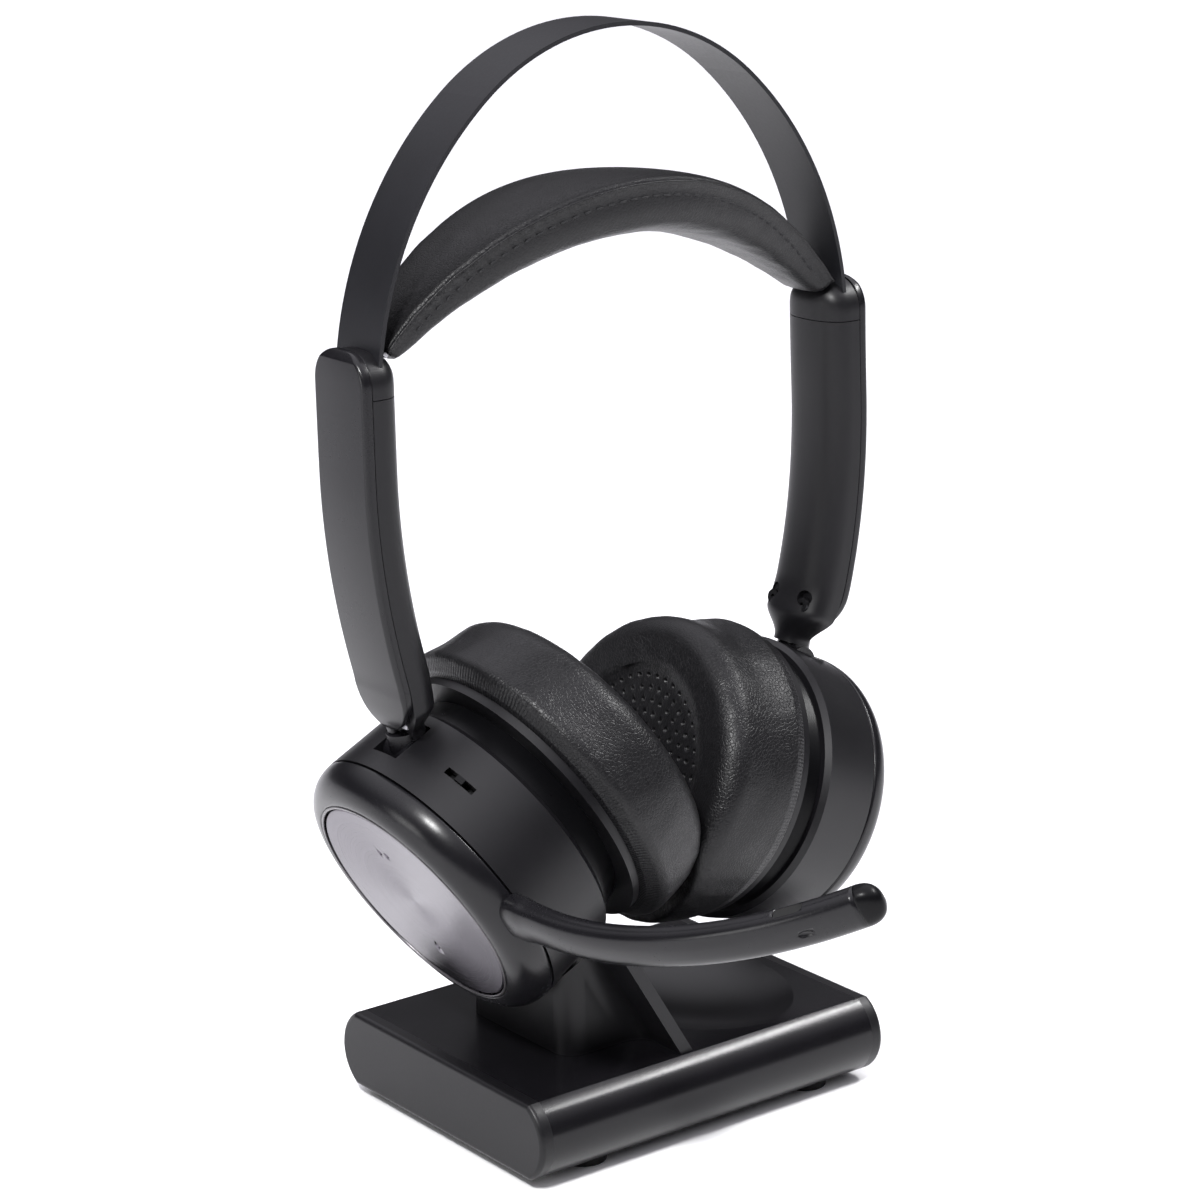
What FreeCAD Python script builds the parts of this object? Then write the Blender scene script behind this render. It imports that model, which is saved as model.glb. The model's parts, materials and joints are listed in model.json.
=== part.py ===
import FreeCAD, Part
import math
import os
import re

import Sketcher
from FreeCAD import Placement, Rotation, Vector

# Office headset on its charging stand. Millimetres, +Z up, origin under the middle of the stand.
# X runs from the left ear cup to the right one, -Y is the side the microphone boom points to.
# An ear cup is built in its own frame: +Z out of the cup along its axis, +X up, origin at the
# middle of the ear pad's base. cup_place puts that frame where the tilted cup hangs.

doc = FreeCAD.newDocument("OfficeHeadset")
sheet = doc.addObject("Spreadsheet::Sheet", "Dims")

DIMENSIONS = [
    ("base_length", 102.4, "stand, left to right"),
    ("base_width", 81.0, "stand, front to back"),
    ("base_height", 18.5, "stand slab"),
    ("foot_height", 2.5, "rubber feet"),
    ("foot_radius", 5.5, "rubber feet"),
    ("foot_left", 30.5, "rubber feet on the left, from the middle"),
    ("foot_right", 36.5, "rubber feet on the right, from the middle"),
    ("foot_y", 28.0, "rubber feet, from the middle"),
    ("base_screw_x", 43.0, "screws of the bottom plate, from the middle"),
    ("base_screw_y", 20.0, "screws of the bottom plate, from the middle"),
    ("base_screw_head", 2.4, "radius"),
    ("base_screw_shank", 1.2, "radius"),
    ("inlet_x", -24.0, "charging inlet in the back of the stand"),
    ("inlet_floor", 30.0, "bottom of the charging inlet, from the middle of the stand"),
    ("inlet_half", 4.6, "half the charging inlet's width"),
    ("inlet_rise", 1.7, "half the charging inlet's height"),
    ("side_radius", 10.5, "bulge of the slab's long sides"),
    ("end_cap", 3.4, "thickness of the slab's end caps"),
    ("seam_x", -3.0, "joint between the two slab shells"),
    ("shell_top", 3.6, "wall over the left hollow of the slab"),
    ("bowl_floor", 7.6, "wall over the right hollow, under the cup bowl"),
    ("hollow_width", 62.0, "hollow of the slab, front to back"),
    ("plate", 1.8, "bottom plate"),
    ("ballast_half", 20.0, "half the ballast plate's width"),
    ("ballast_left", 2.0, "left end of the ballast plate"),
    ("ballast_right", 34.0, "right end of the ballast plate"),
    ("ballast_thick", 5.8, "ballast plate"),
    ("board_left", -34.0, "left end of the stand's circuit board"),
    ("board_right", -8.0, "right end of the stand's circuit board"),
    ("board_front", -21.0, "front end of the stand's circuit board"),
    ("board_back", 26.0, "back end of the stand's circuit board"),
    ("board_thick", 1.6, "circuit boards"),
    ("post_left", -28.5, "left face of the post"),
    ("post_corner", 5.5, "rounding of the post's left corners"),
    ("post_blend", 5.0, "hollow corner between post and leaning wall"),
    ("pin_near", 14.0, "pad base to the nearer pair of charging pins"),
    ("pin_far", 19.0, "pad base to the farther pair of charging pins"),
    ("post_width", 40.0, "post, front to back"),
    ("post_top", 47.0, "height of the post before the cradle is cut"),
    ("wall_width", 68.4, "leaning wall, front to back"),
    ("wall", 3.0, "leaning wall"),
    ("wall_lean", 31.4, "degrees from upright"),
    ("cradle_gap", 0.4, "left cup to its cradle"),
    ("cup_tilt_left", 30.6, "degrees, outer face looks down"),
    ("cup_tilt_right", 21.8, "degrees, outer face looks down"),
    ("pivot_x", 56.5, "tilt pivot of each cup"),
    ("pivot_z", 96.3, "tilt pivot of each cup"),
    ("pivot_up", 30.8, "pad axis to tilt pivot"),
    ("pivot_out", 19.3, "pad base to tilt pivot"),
    ("pad_radius", 37.2, "ear pad"),
    ("pad_depth", 21.0, "ear pad"),
    ("pad_edge", 11.5, "roundness of the ear pad"),
    ("pad_gap", 2.9, "between the two ear pads where they rest on each other"),
    ("pad_dish", 21.0, "sunk middle of the ear pad"),
    ("pad_sink", 3.0, "depth of the sunk middle"),
    ("pad_seat", 35.5, "plate that carries the pad"),
    ("waist_inner", 30.0, "recessed waist at the pad"),
    ("waist_outer", 32.5, "recessed waist at the housing"),
    ("rim_out", 9.3, "pad base to housing rim"),
    ("rim_radius", 34.8, "housing at its rim"),
    ("seam_out", 29.2, "pad base to the turning ring"),
    ("barrel_radius", 35.9, "housing at the ring"),
    ("face_out", 37.6, "pad base to the outer face"),
    ("right_seam_out", 26.6, "pad base to the ring of the shallower right cup"),
    ("right_barrel_radius", 33.2, "right housing at the ring"),
    ("right_face_out", 32.8, "pad base to the right cup's outer face"),
    ("hub_rise", 4.4, "hub above the ring's seam"),
    ("right_hub_rise", 2.4, "right hub above the ring's seam"),
    ("ring_side", 3.4, "straight side of the ring above its seam"),
    ("right_ring_side", 2.6, "straight side of the right ring above its seam"),
    ("neck_slot_low", 6.0, "slot for the neck, from the pivot towards the pad"),
    ("neck_slot_high", 5.0, "slot for the neck, from the pivot towards the face"),
    ("switch_turn", 33.6, "slide switch, degrees from the top of the cup"),
    ("switch_out", 19.8, "pad base to the slide switch"),
    ("window_half", 4.2, "half the slide switch's window, around the barrel"),
    ("window_rise", 0.9, "half the slide switch's window, along the axis"),
    ("driver_radius", 20.8, "speaker"),
    ("magnet_radius", 13.0, "speaker's magnet"),
    ("battery_radius", 14.0, "battery"),
    ("board_radius", 22.0, "circuit board of the cup"),
    ("bracket_half", 8.0, "half the tilt bracket's width"),
    ("shell", 2.0, "housing wall"),
    ("hub_radius", 26.0, "hub that the ring turns on"),
    ("lip_radius", 28.4, "opening of the ring around the disc"),
    ("disc_radius", 27.4, "outer disc"),
    ("neck_radius", 4.0, "neck between arm and cup"),
    ("stem_radius", 1.8, "upper end of the neck"),
    ("neck_lean", 12.6, "degrees from upright"),
    ("pin_radius", 1.5, "tilt pin"),
    ("running", 0.06, "radial clearance of pins and shafts"),
    ("arm_width", 18.2, "arm, front to back"),
    ("arm_centre_x", -112.3, "centre of the arms' bend"),
    ("arm_centre_z", 163.0, "height of the arms' bend"),
    ("arm_outer", 185.0, "outer face of the arms' bend"),
    ("arm_inner", 174.6, "inner face of the arms' bend"),
    ("arm_plate", 2.4, "outer plate of the arm"),
    ("arm_bottom", 101.5, "lower end of the arm"),
    ("arm_top", 190.0, "upper end of the arm"),
    ("arm_seam", 180.5, "joint between arm and its top cap"),
    ("arm_shoulder", 7.0, "rounding of the outer plate's upper corners"),
    ("arm_edge", 2.6, "rounding along the arm's inner face"),
    ("plate_edge", 1.7, "rounding around the outer plate's face"),
    ("cap_shoulder", 5.0, "rounding of the cap's upper corners"),
    ("cap_edge", 2.4, "rounding around the cap's inner face"),
    ("cup_clear", 0.8, "arm to the housing beside it"),
    ("slider_x", 59.8, "inner face of the slide bar"),
    ("slider_bar", 1.8, "slide bar"),
    ("slider_top", 124.0, "top of the slide bar"),
    ("slider_foot", 103.6, "lower end of the slider"),
    ("socket_x", 55.9, "inner face of the slider's socket"),
    ("socket_top", 109.2, "top of the slider's socket"),
    ("tongue_half", 4.6, "half the width of the slider's socket"),
    ("bar_half", 6.0, "half the width of the slide bar"),
    ("screw_height", 112.0, "two screws in the arm's inner face"),
    ("screw_spread", 5.4, "screws, from the arm's middle"),
    ("screw_hole", 1.9, "radius of a screw's recess"),
    ("screw_head", 1.75, "radius of a screw's head"),
    ("sink", 15.0, "depth of the slider's rooms below the slider"),
    ("bowl_x", 21.0, "middle of the bowl under the right cup"),
    ("bowl_length", 77.0, "bowl ellipsoid, left to right"),
    ("bowl_width", 103.4, "bowl ellipsoid, front to back"),
    ("bowl_height", 46.0, "bowl ellipsoid, up"),
    ("bowl_rise", 18.0, "middle of the bowl ellipsoid over the slab"),
    ("band_width", 16.5, "outer band, front to back"),
    ("band_thick", 1.0, "outer band"),
    ("band_top", 255.8, "top of the outer band"),
    ("crown_radius", 58.0, "outer band at the crown"),
    ("flank_radius", 84.0, "outer band down the sides"),
    ("crown_angle", 40.0, "degrees each side of the crown"),
    ("band_foot", 166.0, "lower end of the outer band inside the arms"),
    ("pad_arch", 83.0, "seam line of the padded band"),
    ("pad_arch_top", 220.0, "height of that seam line"),
    ("pad_sweep", 50.0, "degrees each side of the crown"),
    ("pad_wide", 38.0, "padded band in the middle"),
    ("pad_narrow", 14.5, "padded band at the arms"),
    ("pad_over", 3.2, "padded band above its seam"),
    ("pad_under", 10.0, "padded band below its seam"),
    ("pad_over_end", 1.8, "padded band above its seam, at the arms"),
    ("pad_under_end", 3.2, "padded band below its seam, at the arms"),
    ("strip_half", 5.0, "half the width of the strip inside the padded band"),
    ("strip_thick", 1.2, "strip inside the padded band"),
    ("strip_drop", 1.0, "seam line to the strip"),
    ("strip_notch", 2.2, "notch for the strip in each arm's cap"),
    ("boom_lift", 5.2, "degrees the boom rises from level"),
    ("boom_height", 9.4, "boom section across the ring's plane"),
    ("boom_thick", 6.6, "boom section along the cup's axis"),
    ("boom_straight", 49.0, "ring axis to the start of the boom's bend"),
    ("boom_bend", 105.0, "bend of the boom"),
    ("boom_sweep", 45.0, "degrees of the boom's bend"),
    ("mic_along", 37.0, "degrees of the boom's bend before the microphone's slot"),
    ("boom_out", 33.1, "pad base to the boom's middle"),
]

for row, (alias, value, note) in enumerate(DIMENSIONS, start=1):
    sheet.set("A%d" % row, alias)
    sheet.set("B%d" % row, str(value))
    sheet.setAlias("B%d" % row, alias)
    sheet.set("C%d" % row, note)
doc.recompute()

ALIASES = [alias for alias, value, note in DIMENSIONS]
PIECES = []


def dim(alias):
    return float(sheet.get(alias))


def bound(text):
    """The expression text with every dimension's alias read from the sheet."""
    return re.sub(r"[a-z_]+", lambda word: "Dims." + word[0] if word[0] in ALIASES else word[0], str(text))


# ---------------------------------------------------------------- small tools

def solid(kind, name, at=(0, 0, 0), turn=None, **sizes):
    """A Part primitive whose sizes are bound to the sheet."""
    shape = doc.addObject("Part::" + kind, name)
    for size, text in sizes.items():
        shape.setExpression(size, bound(text))
    shape.Placement = Placement(Vector(*at), turn or Rotation())
    return shape


def block(name, low, high):
    """A box between two corners, given as numbers worked out from the sheet."""
    box = doc.addObject("Part::Box", name)
    box.Length, box.Width, box.Height = [high[i] - low[i] for i in range(3)]
    box.Placement = Placement(Vector(*low), Rotation())
    return box


def cut(name, base, *tools):
    for number, tool in enumerate(tools):
        result = doc.addObject("Part::Cut", name if number == 0 else "%s_%d" % (name, number))
        result.Base = base
        result.Tool = tool
        base = result
    return base


def common(name, base, tool):
    result = doc.addObject("Part::Common", name)
    result.Base = base
    result.Tool = tool
    return result


def fuse(name, *shapes):
    result = doc.addObject("Part::MultiFuse", name)
    result.Shapes = list(shapes)
    result.Refine = True
    return result


def group(name, *shapes):
    result = doc.addObject("Part::Compound", name)
    result.Links = list(shapes)
    return result


def rounded(name, base, radius, wanted):
    """Part::Fillet on every edge for which wanted(edge) holds."""
    doc.recompute()
    result = doc.addObject("Part::Fillet", name)
    result.Base = base
    edges = [i for i, edge in enumerate(base.Shape.Edges, start=1) if wanted(edge)]
    result.Edges = [(i, radius, radius) for i in edges]
    return result


def plane(body, role):
    return [feature for feature in body.Origin.OriginFeatures if feature.Role == role][0]


def outline(body, name, role, points):
    """A closed sketch of straight sides; each corner is a pair of expressions."""
    sketch = body.newObject("Sketcher::SketchObject", name)
    sketch.AttachmentSupport = (plane(body, role), [""])
    sketch.MapMode = "FlatFace"
    count = len(points)
    corners = [Vector(math.cos(2 * math.pi * i / count), math.sin(2 * math.pi * i / count), 0) * 20
               for i in range(count)]
    for i in range(count):
        sketch.addGeometry(Part.LineSegment(corners[i], corners[(i + 1) % count]), False)
    for i in range(count):
        sketch.addConstraint(Sketcher.Constraint("Coincident", i, 2, (i + 1) % count, 1))
    for i, (across, along) in enumerate(points):
        for kind, text, value in (("DistanceX", across, corners[i].x), ("DistanceY", along, corners[i].y)):
            index = sketch.addConstraint(Sketcher.Constraint(kind, -1, 1, i, 1, value))
            sketch.setExpression("Constraints[%d]" % index, bound(text))
    return sketch


def turned(name, points):
    """A PartDesign body revolved about Z from corners given as (radius, height)."""
    body = doc.addObject("PartDesign::Body", name)
    sketch = outline(body, name + "_profile", "XZ_Plane", points)
    turn = body.newObject("PartDesign::Revolution", name + "_turn")
    turn.Profile = sketch
    turn.ReferenceAxis = (sketch, ["V_Axis"])
    turn.Angle = 360.0
    return body


def soften(body, radius, circle_radius, height):
    """Fillet the circular edges of a turned body found by their radius and height."""
    doc.recompute()
    base = body.Tip
    names = []
    for i, edge in enumerate(base.Shape.Edges, start=1):
        curve = edge.Curve
        if isinstance(curve, Part.Circle):
            if abs(curve.Radius - circle_radius) < 0.01 and abs(curve.Center.z - height) < 0.01:
                names.append("Edge%d" % i)
    fillet = body.newObject("PartDesign::Fillet", body.Name + "_soft_%d" % len(body.Group))
    fillet.Base = (base, names)
    fillet.setExpression("Radius", bound(radius))
    return fillet


def piece(label, shape, place=None):
    """Name a finished sub-part and put it in its place."""
    shape.Label = label
    if place is not None:
        shape.Placement = place
    PIECES.append(shape)
    return shape


def cup_place(side):
    """Where a cup's own frame stands: side -1 is the left cup, +1 the right one."""
    tilt = dim("cup_tilt_left") if side < 0 else dim("cup_tilt_right")
    turn = Rotation(Vector(0, 1, 0), side * (90 + tilt))
    if side > 0:
        turn = turn.multiply(Rotation(Vector(0, 0, 1), 180))
    pivot = Vector(side * dim("pivot_x"), 0, dim("pivot_z"))
    local_pivot = Vector(dim("pivot_up"), 0, dim("pivot_out"))
    return Placement(pivot - turn.multVec(local_pivot), turn)


def side_name(side):
    return "left" if side < 0 else "right"


def own(side, text):
    """The same expression with the right cup's own seam, barrel and face, which differ from the left's."""
    if side < 0:
        return text
    return re.sub(r"(seam_out|barrel_radius|face_out|hub_rise|ring_side)", r"right_\1", text)


def own_points(side, points):
    return [(own(side, radius), own(side, height)) for radius, height in points]


# ---------------------------------------------------------------- stand

HALF_LENGTH = dim("base_length") / 2
HALF_WIDTH = dim("base_width") / 2
BASE_LOW = dim("foot_height")
BASE_TOP = BASE_LOW + dim("base_height")
BASE_MIDDLE = (BASE_LOW + BASE_TOP) / 2
SEAM = dim("seam_x")
CAP = dim("end_cap")
HOLLOW = dim("hollow_width") / 2
ALONG_X = Rotation(Vector(0, 1, 0), 90)
ALONG_Y = Rotation(Vector(1, 0, 0), -90)


def bulged_slab(name, start, end):
    """A stretch of the stand's slab: flat top and bottom, long sides bulged to an arc."""
    length = end - start
    rails = []
    for side in (-1, 1):
        at = (start, side * (HALF_WIDTH - dim("side_radius")), BASE_MIDDLE)
        rail = solid("Cylinder", "%s_rail_%d" % (name, side + 1), at, ALONG_X, Radius="side_radius")
        rail.Height = length
        rails.append(rail)
    core = block(name + "_core", (start, dim("side_radius") - HALF_WIDTH, BASE_LOW),
                 (end, HALF_WIDTH - dim("side_radius"), BASE_TOP))
    whole = fuse(name + "_whole", core, *rails)
    limits = block(name + "_limits", (start, -HALF_WIDTH, BASE_LOW), (end, HALF_WIDTH, BASE_TOP))
    return common(name + "_slab", whole, limits)


def cup_bowl(name):
    """Ellipsoid that hollows the bowl under the right cup."""
    bowl = doc.addObject("Part::Ellipsoid", name)
    bowl.setExpression("Radius1", bound("bowl_height / 2"))
    bowl.setExpression("Radius2", bound("bowl_length / 2"))
    bowl.setExpression("Radius3", bound("bowl_width / 2"))
    bowl.Angle1 = -90
    bowl.Placement = Placement(Vector(dim("bowl_x"), 0, BASE_TOP + dim("bowl_rise")), Rotation())
    return bowl


def corners_of(x, y):
    """The four points at a distance from the middle, left to right and front to back."""
    return [(left * x, front * y) for left in (-1, 1) for front in (-1, 1)]


def make_base():
    inlet_x = dim("inlet_x")
    inlet_z = BASE_MIDDLE - 1
    wide = dim("inlet_half")
    tall = dim("inlet_rise")
    left_hollow = block("left_hollow", (-HALF_LENGTH + CAP - 1, -HOLLOW, BASE_LOW - 1),
                        (SEAM + 1, HOLLOW, BASE_TOP - dim("shell_top")))
    inlet_hole = block("inlet_hole", (inlet_x - wide - 0.2, HOLLOW - 1, inlet_z - tall - 0.2),
                       (inlet_x + wide + 0.2, HALF_WIDTH + 1, inlet_z + tall + 0.2))
    piece("base_left_shell", cut("left_shell", bulged_slab("left_shell", -HALF_LENGTH + CAP, SEAM),
                                 left_hollow, inlet_hole))
    right_hollow = block("right_hollow", (SEAM - 1, -HOLLOW, BASE_LOW - 1),
                         (HALF_LENGTH - CAP + 1, HOLLOW, BASE_TOP - dim("bowl_floor")))
    piece("base_right_shell", cut("right_shell", bulged_slab("right_shell", SEAM, HALF_LENGTH - CAP),
                                  right_hollow, cup_bowl("shell_bowl")))
    for side in (-1, 1):
        name = side_name(side) + "_end"
        ends = sorted((side * HALF_LENGTH, side * (HALF_LENGTH - CAP)))
        slab = bulged_slab(name, *ends)
        outer = side * HALF_LENGTH
        cap = rounded(name + "_soft", slab, 1.2,
                      lambda edge: all(abs(v.Point.x - outer) < 0.01 for v in edge.Vertexes))
        piece("base_%s_end_cap" % side_name(side), cap)
    plate_low = (-HALF_LENGTH + CAP + 0.1, -HOLLOW + 0.1, BASE_LOW)
    plate_high = (HALF_LENGTH - CAP - 0.1, HOLLOW - 0.1, BASE_LOW + dim("plate"))
    bottom = block("bottom", plate_low, plate_high)
    screws = []
    holes = []
    for x, y in corners_of(dim("base_screw_x"), dim("base_screw_y")):
        head = solid("Cylinder", "screw_head", (x, y, BASE_LOW + 0.3), Radius="base_screw_head", Height="1.1")
        shank = solid("Cylinder", "screw_shank", (x, y, BASE_LOW + 1.4),
                      Radius="base_screw_shank", Height="4.5")
        screws.append(fuse("base_screw", head, shank))
        holes.append(solid("Cylinder", "screw_sink", (x, y, BASE_LOW - 0.1), Radius="base_screw_head + 0.1",
                           Height="2.5"))
    piece("base_bottom_plate", cut("bottom_plate", bottom, group("screw_sinks", *holes)))
    piece("base_screws", group("screws", *screws))
    feet = [solid("Cylinder", "foot", (x, y, 0), Radius="foot_radius", Height="foot_height")
            for x in (-dim("foot_left"), dim("foot_right")) for y in (-dim("foot_y"), dim("foot_y"))]
    piece("base_feet", group("feet", *feet))
    above_plate = BASE_LOW + dim("plate") + 0.4
    ballast_low = (dim("ballast_left"), -dim("ballast_half"), above_plate)
    ballast_high = (dim("ballast_right"), dim("ballast_half"), above_plate + dim("ballast_thick"))
    piece("ballast_plate", block("ballast", ballast_low, ballast_high))
    board_low = inlet_z - tall - dim("board_thick") - 0.1
    piece("stand_board", block("stand_board", (dim("board_left"), dim("board_front"), board_low),
                               (dim("board_right"), dim("board_back"), board_low + dim("board_thick"))))
    socket = block("socket", (inlet_x - wide, dim("board_back"), inlet_z - tall),
                   (inlet_x + wide, HALF_WIDTH - 1.0, inlet_z + tall))
    mouth = block("socket_mouth", (inlet_x - wide + 0.5, dim("inlet_floor"), inlet_z - tall + 0.5),
                  (inlet_x + wide - 0.5, HALF_WIDTH, inlet_z + tall - 0.5))
    piece("stand_inlet", cut("stand_inlet", socket, mouth))


def make_post():
    lean = Rotation(Vector(0, 1, 0), -dim("wall_lean"))
    wall = solid("Box", "leaning_wall", turn=Rotation(), Length="wall", Width="wall_width")
    wall.Height = 40.0
    foot = Vector(SEAM + 0.4, -dim("wall_width") / 2, BASE_TOP)
    wall.Placement = Placement(foot - lean.multVec(Vector(dim("wall"), 0, 5)), lean)
    trunk_high = (SEAM, dim("post_width") / 2, dim("post_top"))
    trunk = block("trunk", (dim("post_left"), -dim("post_width") / 2, BASE_TOP), trunk_high)
    trunk = rounded("trunk_soft", trunk, dim("post_corner"),
                    lambda edge: all(abs(v.Point.x - dim("post_left")) < 0.01 for v in edge.Vertexes)
                    and abs(edge.tangentAt(edge.FirstParameter).z) > 0.9)
    behind = solid("Box", "behind_wall", Length="60", Width="120", Height="80")
    behind.Placement = Placement(foot + Vector(0, -20, 0) - lean.multVec(Vector(0, 0, 20)), lean)
    trunk = cut("trunk_cut", trunk, behind)
    joined = fuse("post_joined", trunk, wall)
    limits = block("post_limits", (-60, -60, BASE_TOP), (30, 60, dim("post_top")))
    joined = common("post_limited", joined, limits)
    near = dim("post_width") / 2

    def inner_corner(edge):
        ends = [v.Point for v in edge.Vertexes]
        level = all(abs(abs(p.y) - near) < 0.01 for p in ends)
        tall = abs(ends[0].z - ends[-1].z) > 10
        return level and tall and ends[0].x > dim("post_left") + dim("post_corner") + 0.5
    joined = rounded("post_blend", joined, dim("post_blend"), inner_corner)
    cradle = doc.addObject("Part::Cylinder", "cradle")
    cradle.setExpression("Radius", bound("barrel_radius + cradle_gap"))
    cradle.Height = 80.0
    cradle.Placement = cup_place(-1).multiply(Placement(Vector(0, 0, -20), Rotation()))
    piece("stand_post", cut("post", joined, cradle, cup_bowl("post_bowl")))
    pins = []
    for out in (dim("pin_near"), dim("pin_far")):
        pin = doc.addObject("Part::Cylinder", "pin")
        pin.Radius = 0.9
        pin.Height = 0.8
        reach = dim("barrel_radius") + dim("cradle_gap")
        at = Placement(Vector(-reach, 0, out), Rotation(Vector(0, 1, 0), 90))
        pin.Placement = cup_place(-1).multiply(at)
        pins.append(pin)
    piece("stand_charge_pins", group("charge_pins", *pins))


# ---------------------------------------------------------------- ear cups

def pad_corner(side):
    """Middle of the ear pad's rounded edge at its lowest point, where the two pads meet."""
    inwards = dim("pad_depth") - dim("pad_edge")
    return cup_place(side).multVec(Vector(dim("pad_edge") - dim("pad_radius"), 0, -inwards))


def make_pad(side):
    """Ear pad with a sunk middle, pressed flat where it rests on the other pad."""
    name = side_name(side) + "_pad"
    dish = "pad_sink - pad_depth"
    pad = turned(name, [
        ("0", "0"), ("pad_radius - 1", "0"), ("pad_radius", "-3"), ("pad_radius", "-pad_depth"),
        ("pad_dish + 3", "-pad_depth"), ("pad_dish", dish), ("0", dish)])
    soften(pad, "pad_edge", dim("pad_radius"), -dim("pad_depth"))
    soften(pad, "2.5", dim("pad_dish") + 3, -dim("pad_depth"))
    beyond = solid("Box", name + "_beyond", Length="80", Width="200", Height="200")
    middle = (pad_corner(side) + pad_corner(-side)) / 2
    lean = (dim("cup_tilt_left") - dim("cup_tilt_right")) / 2
    turn = Rotation(Vector(0, 1, 0), -lean if side < 0 else 180 - lean)
    start = middle + turn.multVec(Vector(-dim("pad_gap") / 2, -100, -100))
    beyond.Placement = cup_place(side).inverse().multiply(Placement(start, turn))
    piece(side_name(side) + "_ear_pad", cut(name + "_pressed", pad, beyond), cup_place(side))


def make_housing(side):
    """Barrel of the cup: a shell that opens outwards, slotted at the top for the neck."""
    name = side_name(side) + "_housing"
    barrel = turned(name, own_points(side, [
        ("waist_outer - 2", "rim_out"), ("rim_radius - 1.2", "rim_out"), ("rim_radius", "rim_out + 1.2"),
        ("barrel_radius", "seam_out"), ("barrel_radius - shell", "seam_out"),
        ("rim_radius - shell", "rim_out + shell"), ("waist_outer - 2", "rim_out + shell")]))
    half = dim("neck_radius") + 0.5
    slot_high = min(dim("pivot_out") + dim("neck_slot_high"), dim(own(side, "seam_out")) - 0.4)
    slot = block(name + "_slot", (26, -half, dim("pivot_out") - dim("neck_slot_low")), (45, half, slot_high))
    reach = dim("window_half")
    rise = dim("window_rise")
    window = block(name + "_window", (-4.0, -reach, -rise), (4.0, reach, rise))
    window.Placement = switch_place(side).multiply(window.Placement)
    pocket = bracket_box(name + "_pocket", 0.1)
    piece(side_name(side) + "_cup_housing", cut(name + "_cut", barrel, slot, window, pocket), cup_place(side))


def bracket_box(name, grow):
    """Outside of the tilt bracket, or the room for it when grow is above zero."""
    half = dim("bracket_half") + grow
    return block(name, (24.4 - grow, -half, dim("pivot_out") - 4.6 - grow),
                 (dim("pivot_up") + 2.4 + grow, half, dim("pivot_out") + 3.2 + grow))


def switch_place(side):
    """Frame of the slide switch on the barrel: X outwards, Y around the barrel, Z along its axis."""
    turn = Rotation(Vector(0, 0, 1), -dim("switch_turn"))
    share = (dim("switch_out") - dim("rim_out")) / (dim(own(side, "seam_out")) - dim("rim_out"))
    radius = dim("rim_radius") + share * (dim(own(side, "barrel_radius")) - dim("rim_radius"))
    return Placement(turn.multVec(Vector(radius, 0, 0)) + Vector(0, 0, dim("switch_out")), turn)


def make_switch(side):
    name = side_name(side) + "_switch"
    rise = dim("window_rise") - 0.15
    knob = block(name + "_knob", (-3.6, -1.1, -rise), (0.5, 1.1, rise))
    foot = block(name + "_foot", (-4.6, -6.2, -2.2), (-3.5, 6.2, 2.2))
    piece(name, fuse(name, knob, foot), cup_place(side).multiply(switch_place(side)))


def make_cup_inside(side):
    """Everything that a cup holds between its pad and its outer face, except the housing."""
    name = side_name(side)
    place = cup_place(side)
    piece(name + "_pad_plate", turned(name + "_seat", [
        ("21.5", "0.1"), ("pad_seat", "0.1"), ("pad_seat", "2.2"), ("21.5", "2.2")]), place)
    piece(name + "_cup_waist", turned(name + "_waist", [
        ("waist_inner - 2", "2.2"), ("waist_inner", "2.2"), ("waist_outer - 0.2", "rim_out"),
        ("waist_outer - 2.2", "rim_out")]), place)
    piece(name + "_speaker", turned(name + "_driver", [
        ("0", "0.2"), ("driver_radius", "0.2"), ("driver_radius", "3.2"), ("magnet_radius", "6.2"),
        ("magnet_radius", "9.0"), ("0", "9.0")]), place)
    board = turned(name + "_disc_board", own_points(side, [
        ("0", "seam_out - 4.8"), ("board_radius", "seam_out - 4.8"),
        ("board_radius", "seam_out - 4.8 + board_thick"),
        ("0", "seam_out - 4.8 + board_thick")]))
    piece(name + "_cup_board", board, place)
    piece(name + "_battery", turned(name + "_cell", own_points(side, [
        ("0", "rim_out + 0.4"), ("battery_radius", "rim_out + 0.4"), ("battery_radius", "seam_out - 6.6"),
        ("0", "seam_out - 6.6")])), place)
    bracket = bracket_box(name + "_bracket_block", 0)
    room = block(name + "_bracket_room", (25.9, -4.4, 0), (45, 4.4, 40))
    bore = solid("Cylinder", name + "_bracket_bore", (dim("pivot_up"), -10, dim("pivot_out")), ALONG_Y,
                 Radius="pin_radius", Height="20")
    piece(name + "_tilt_bracket", cut(name + "_bracket", bracket, room, bore), place)
    pin = solid("Cylinder", name + "_pin", (0, 0, 0), None, Radius="pin_radius", Height="15.6")
    at = Placement(Vector(dim("pivot_up"), -7.8, dim("pivot_out")), ALONG_Y)
    piece(name + "_tilt_pin", pin, place.multiply(at))
    piece(name + "_cup_hub", turned(name + "_hub", own_points(side, [
        ("0", "seam_out - 1.6"), ("barrel_radius - shell - 0.2", "seam_out - 1.6"),
        ("barrel_radius - shell - 0.2", "seam_out - 0.2"), ("hub_radius", "seam_out + 0.2"),
        ("hub_radius", "seam_out + hub_rise"), ("0", "seam_out + hub_rise")])), place)


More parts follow.
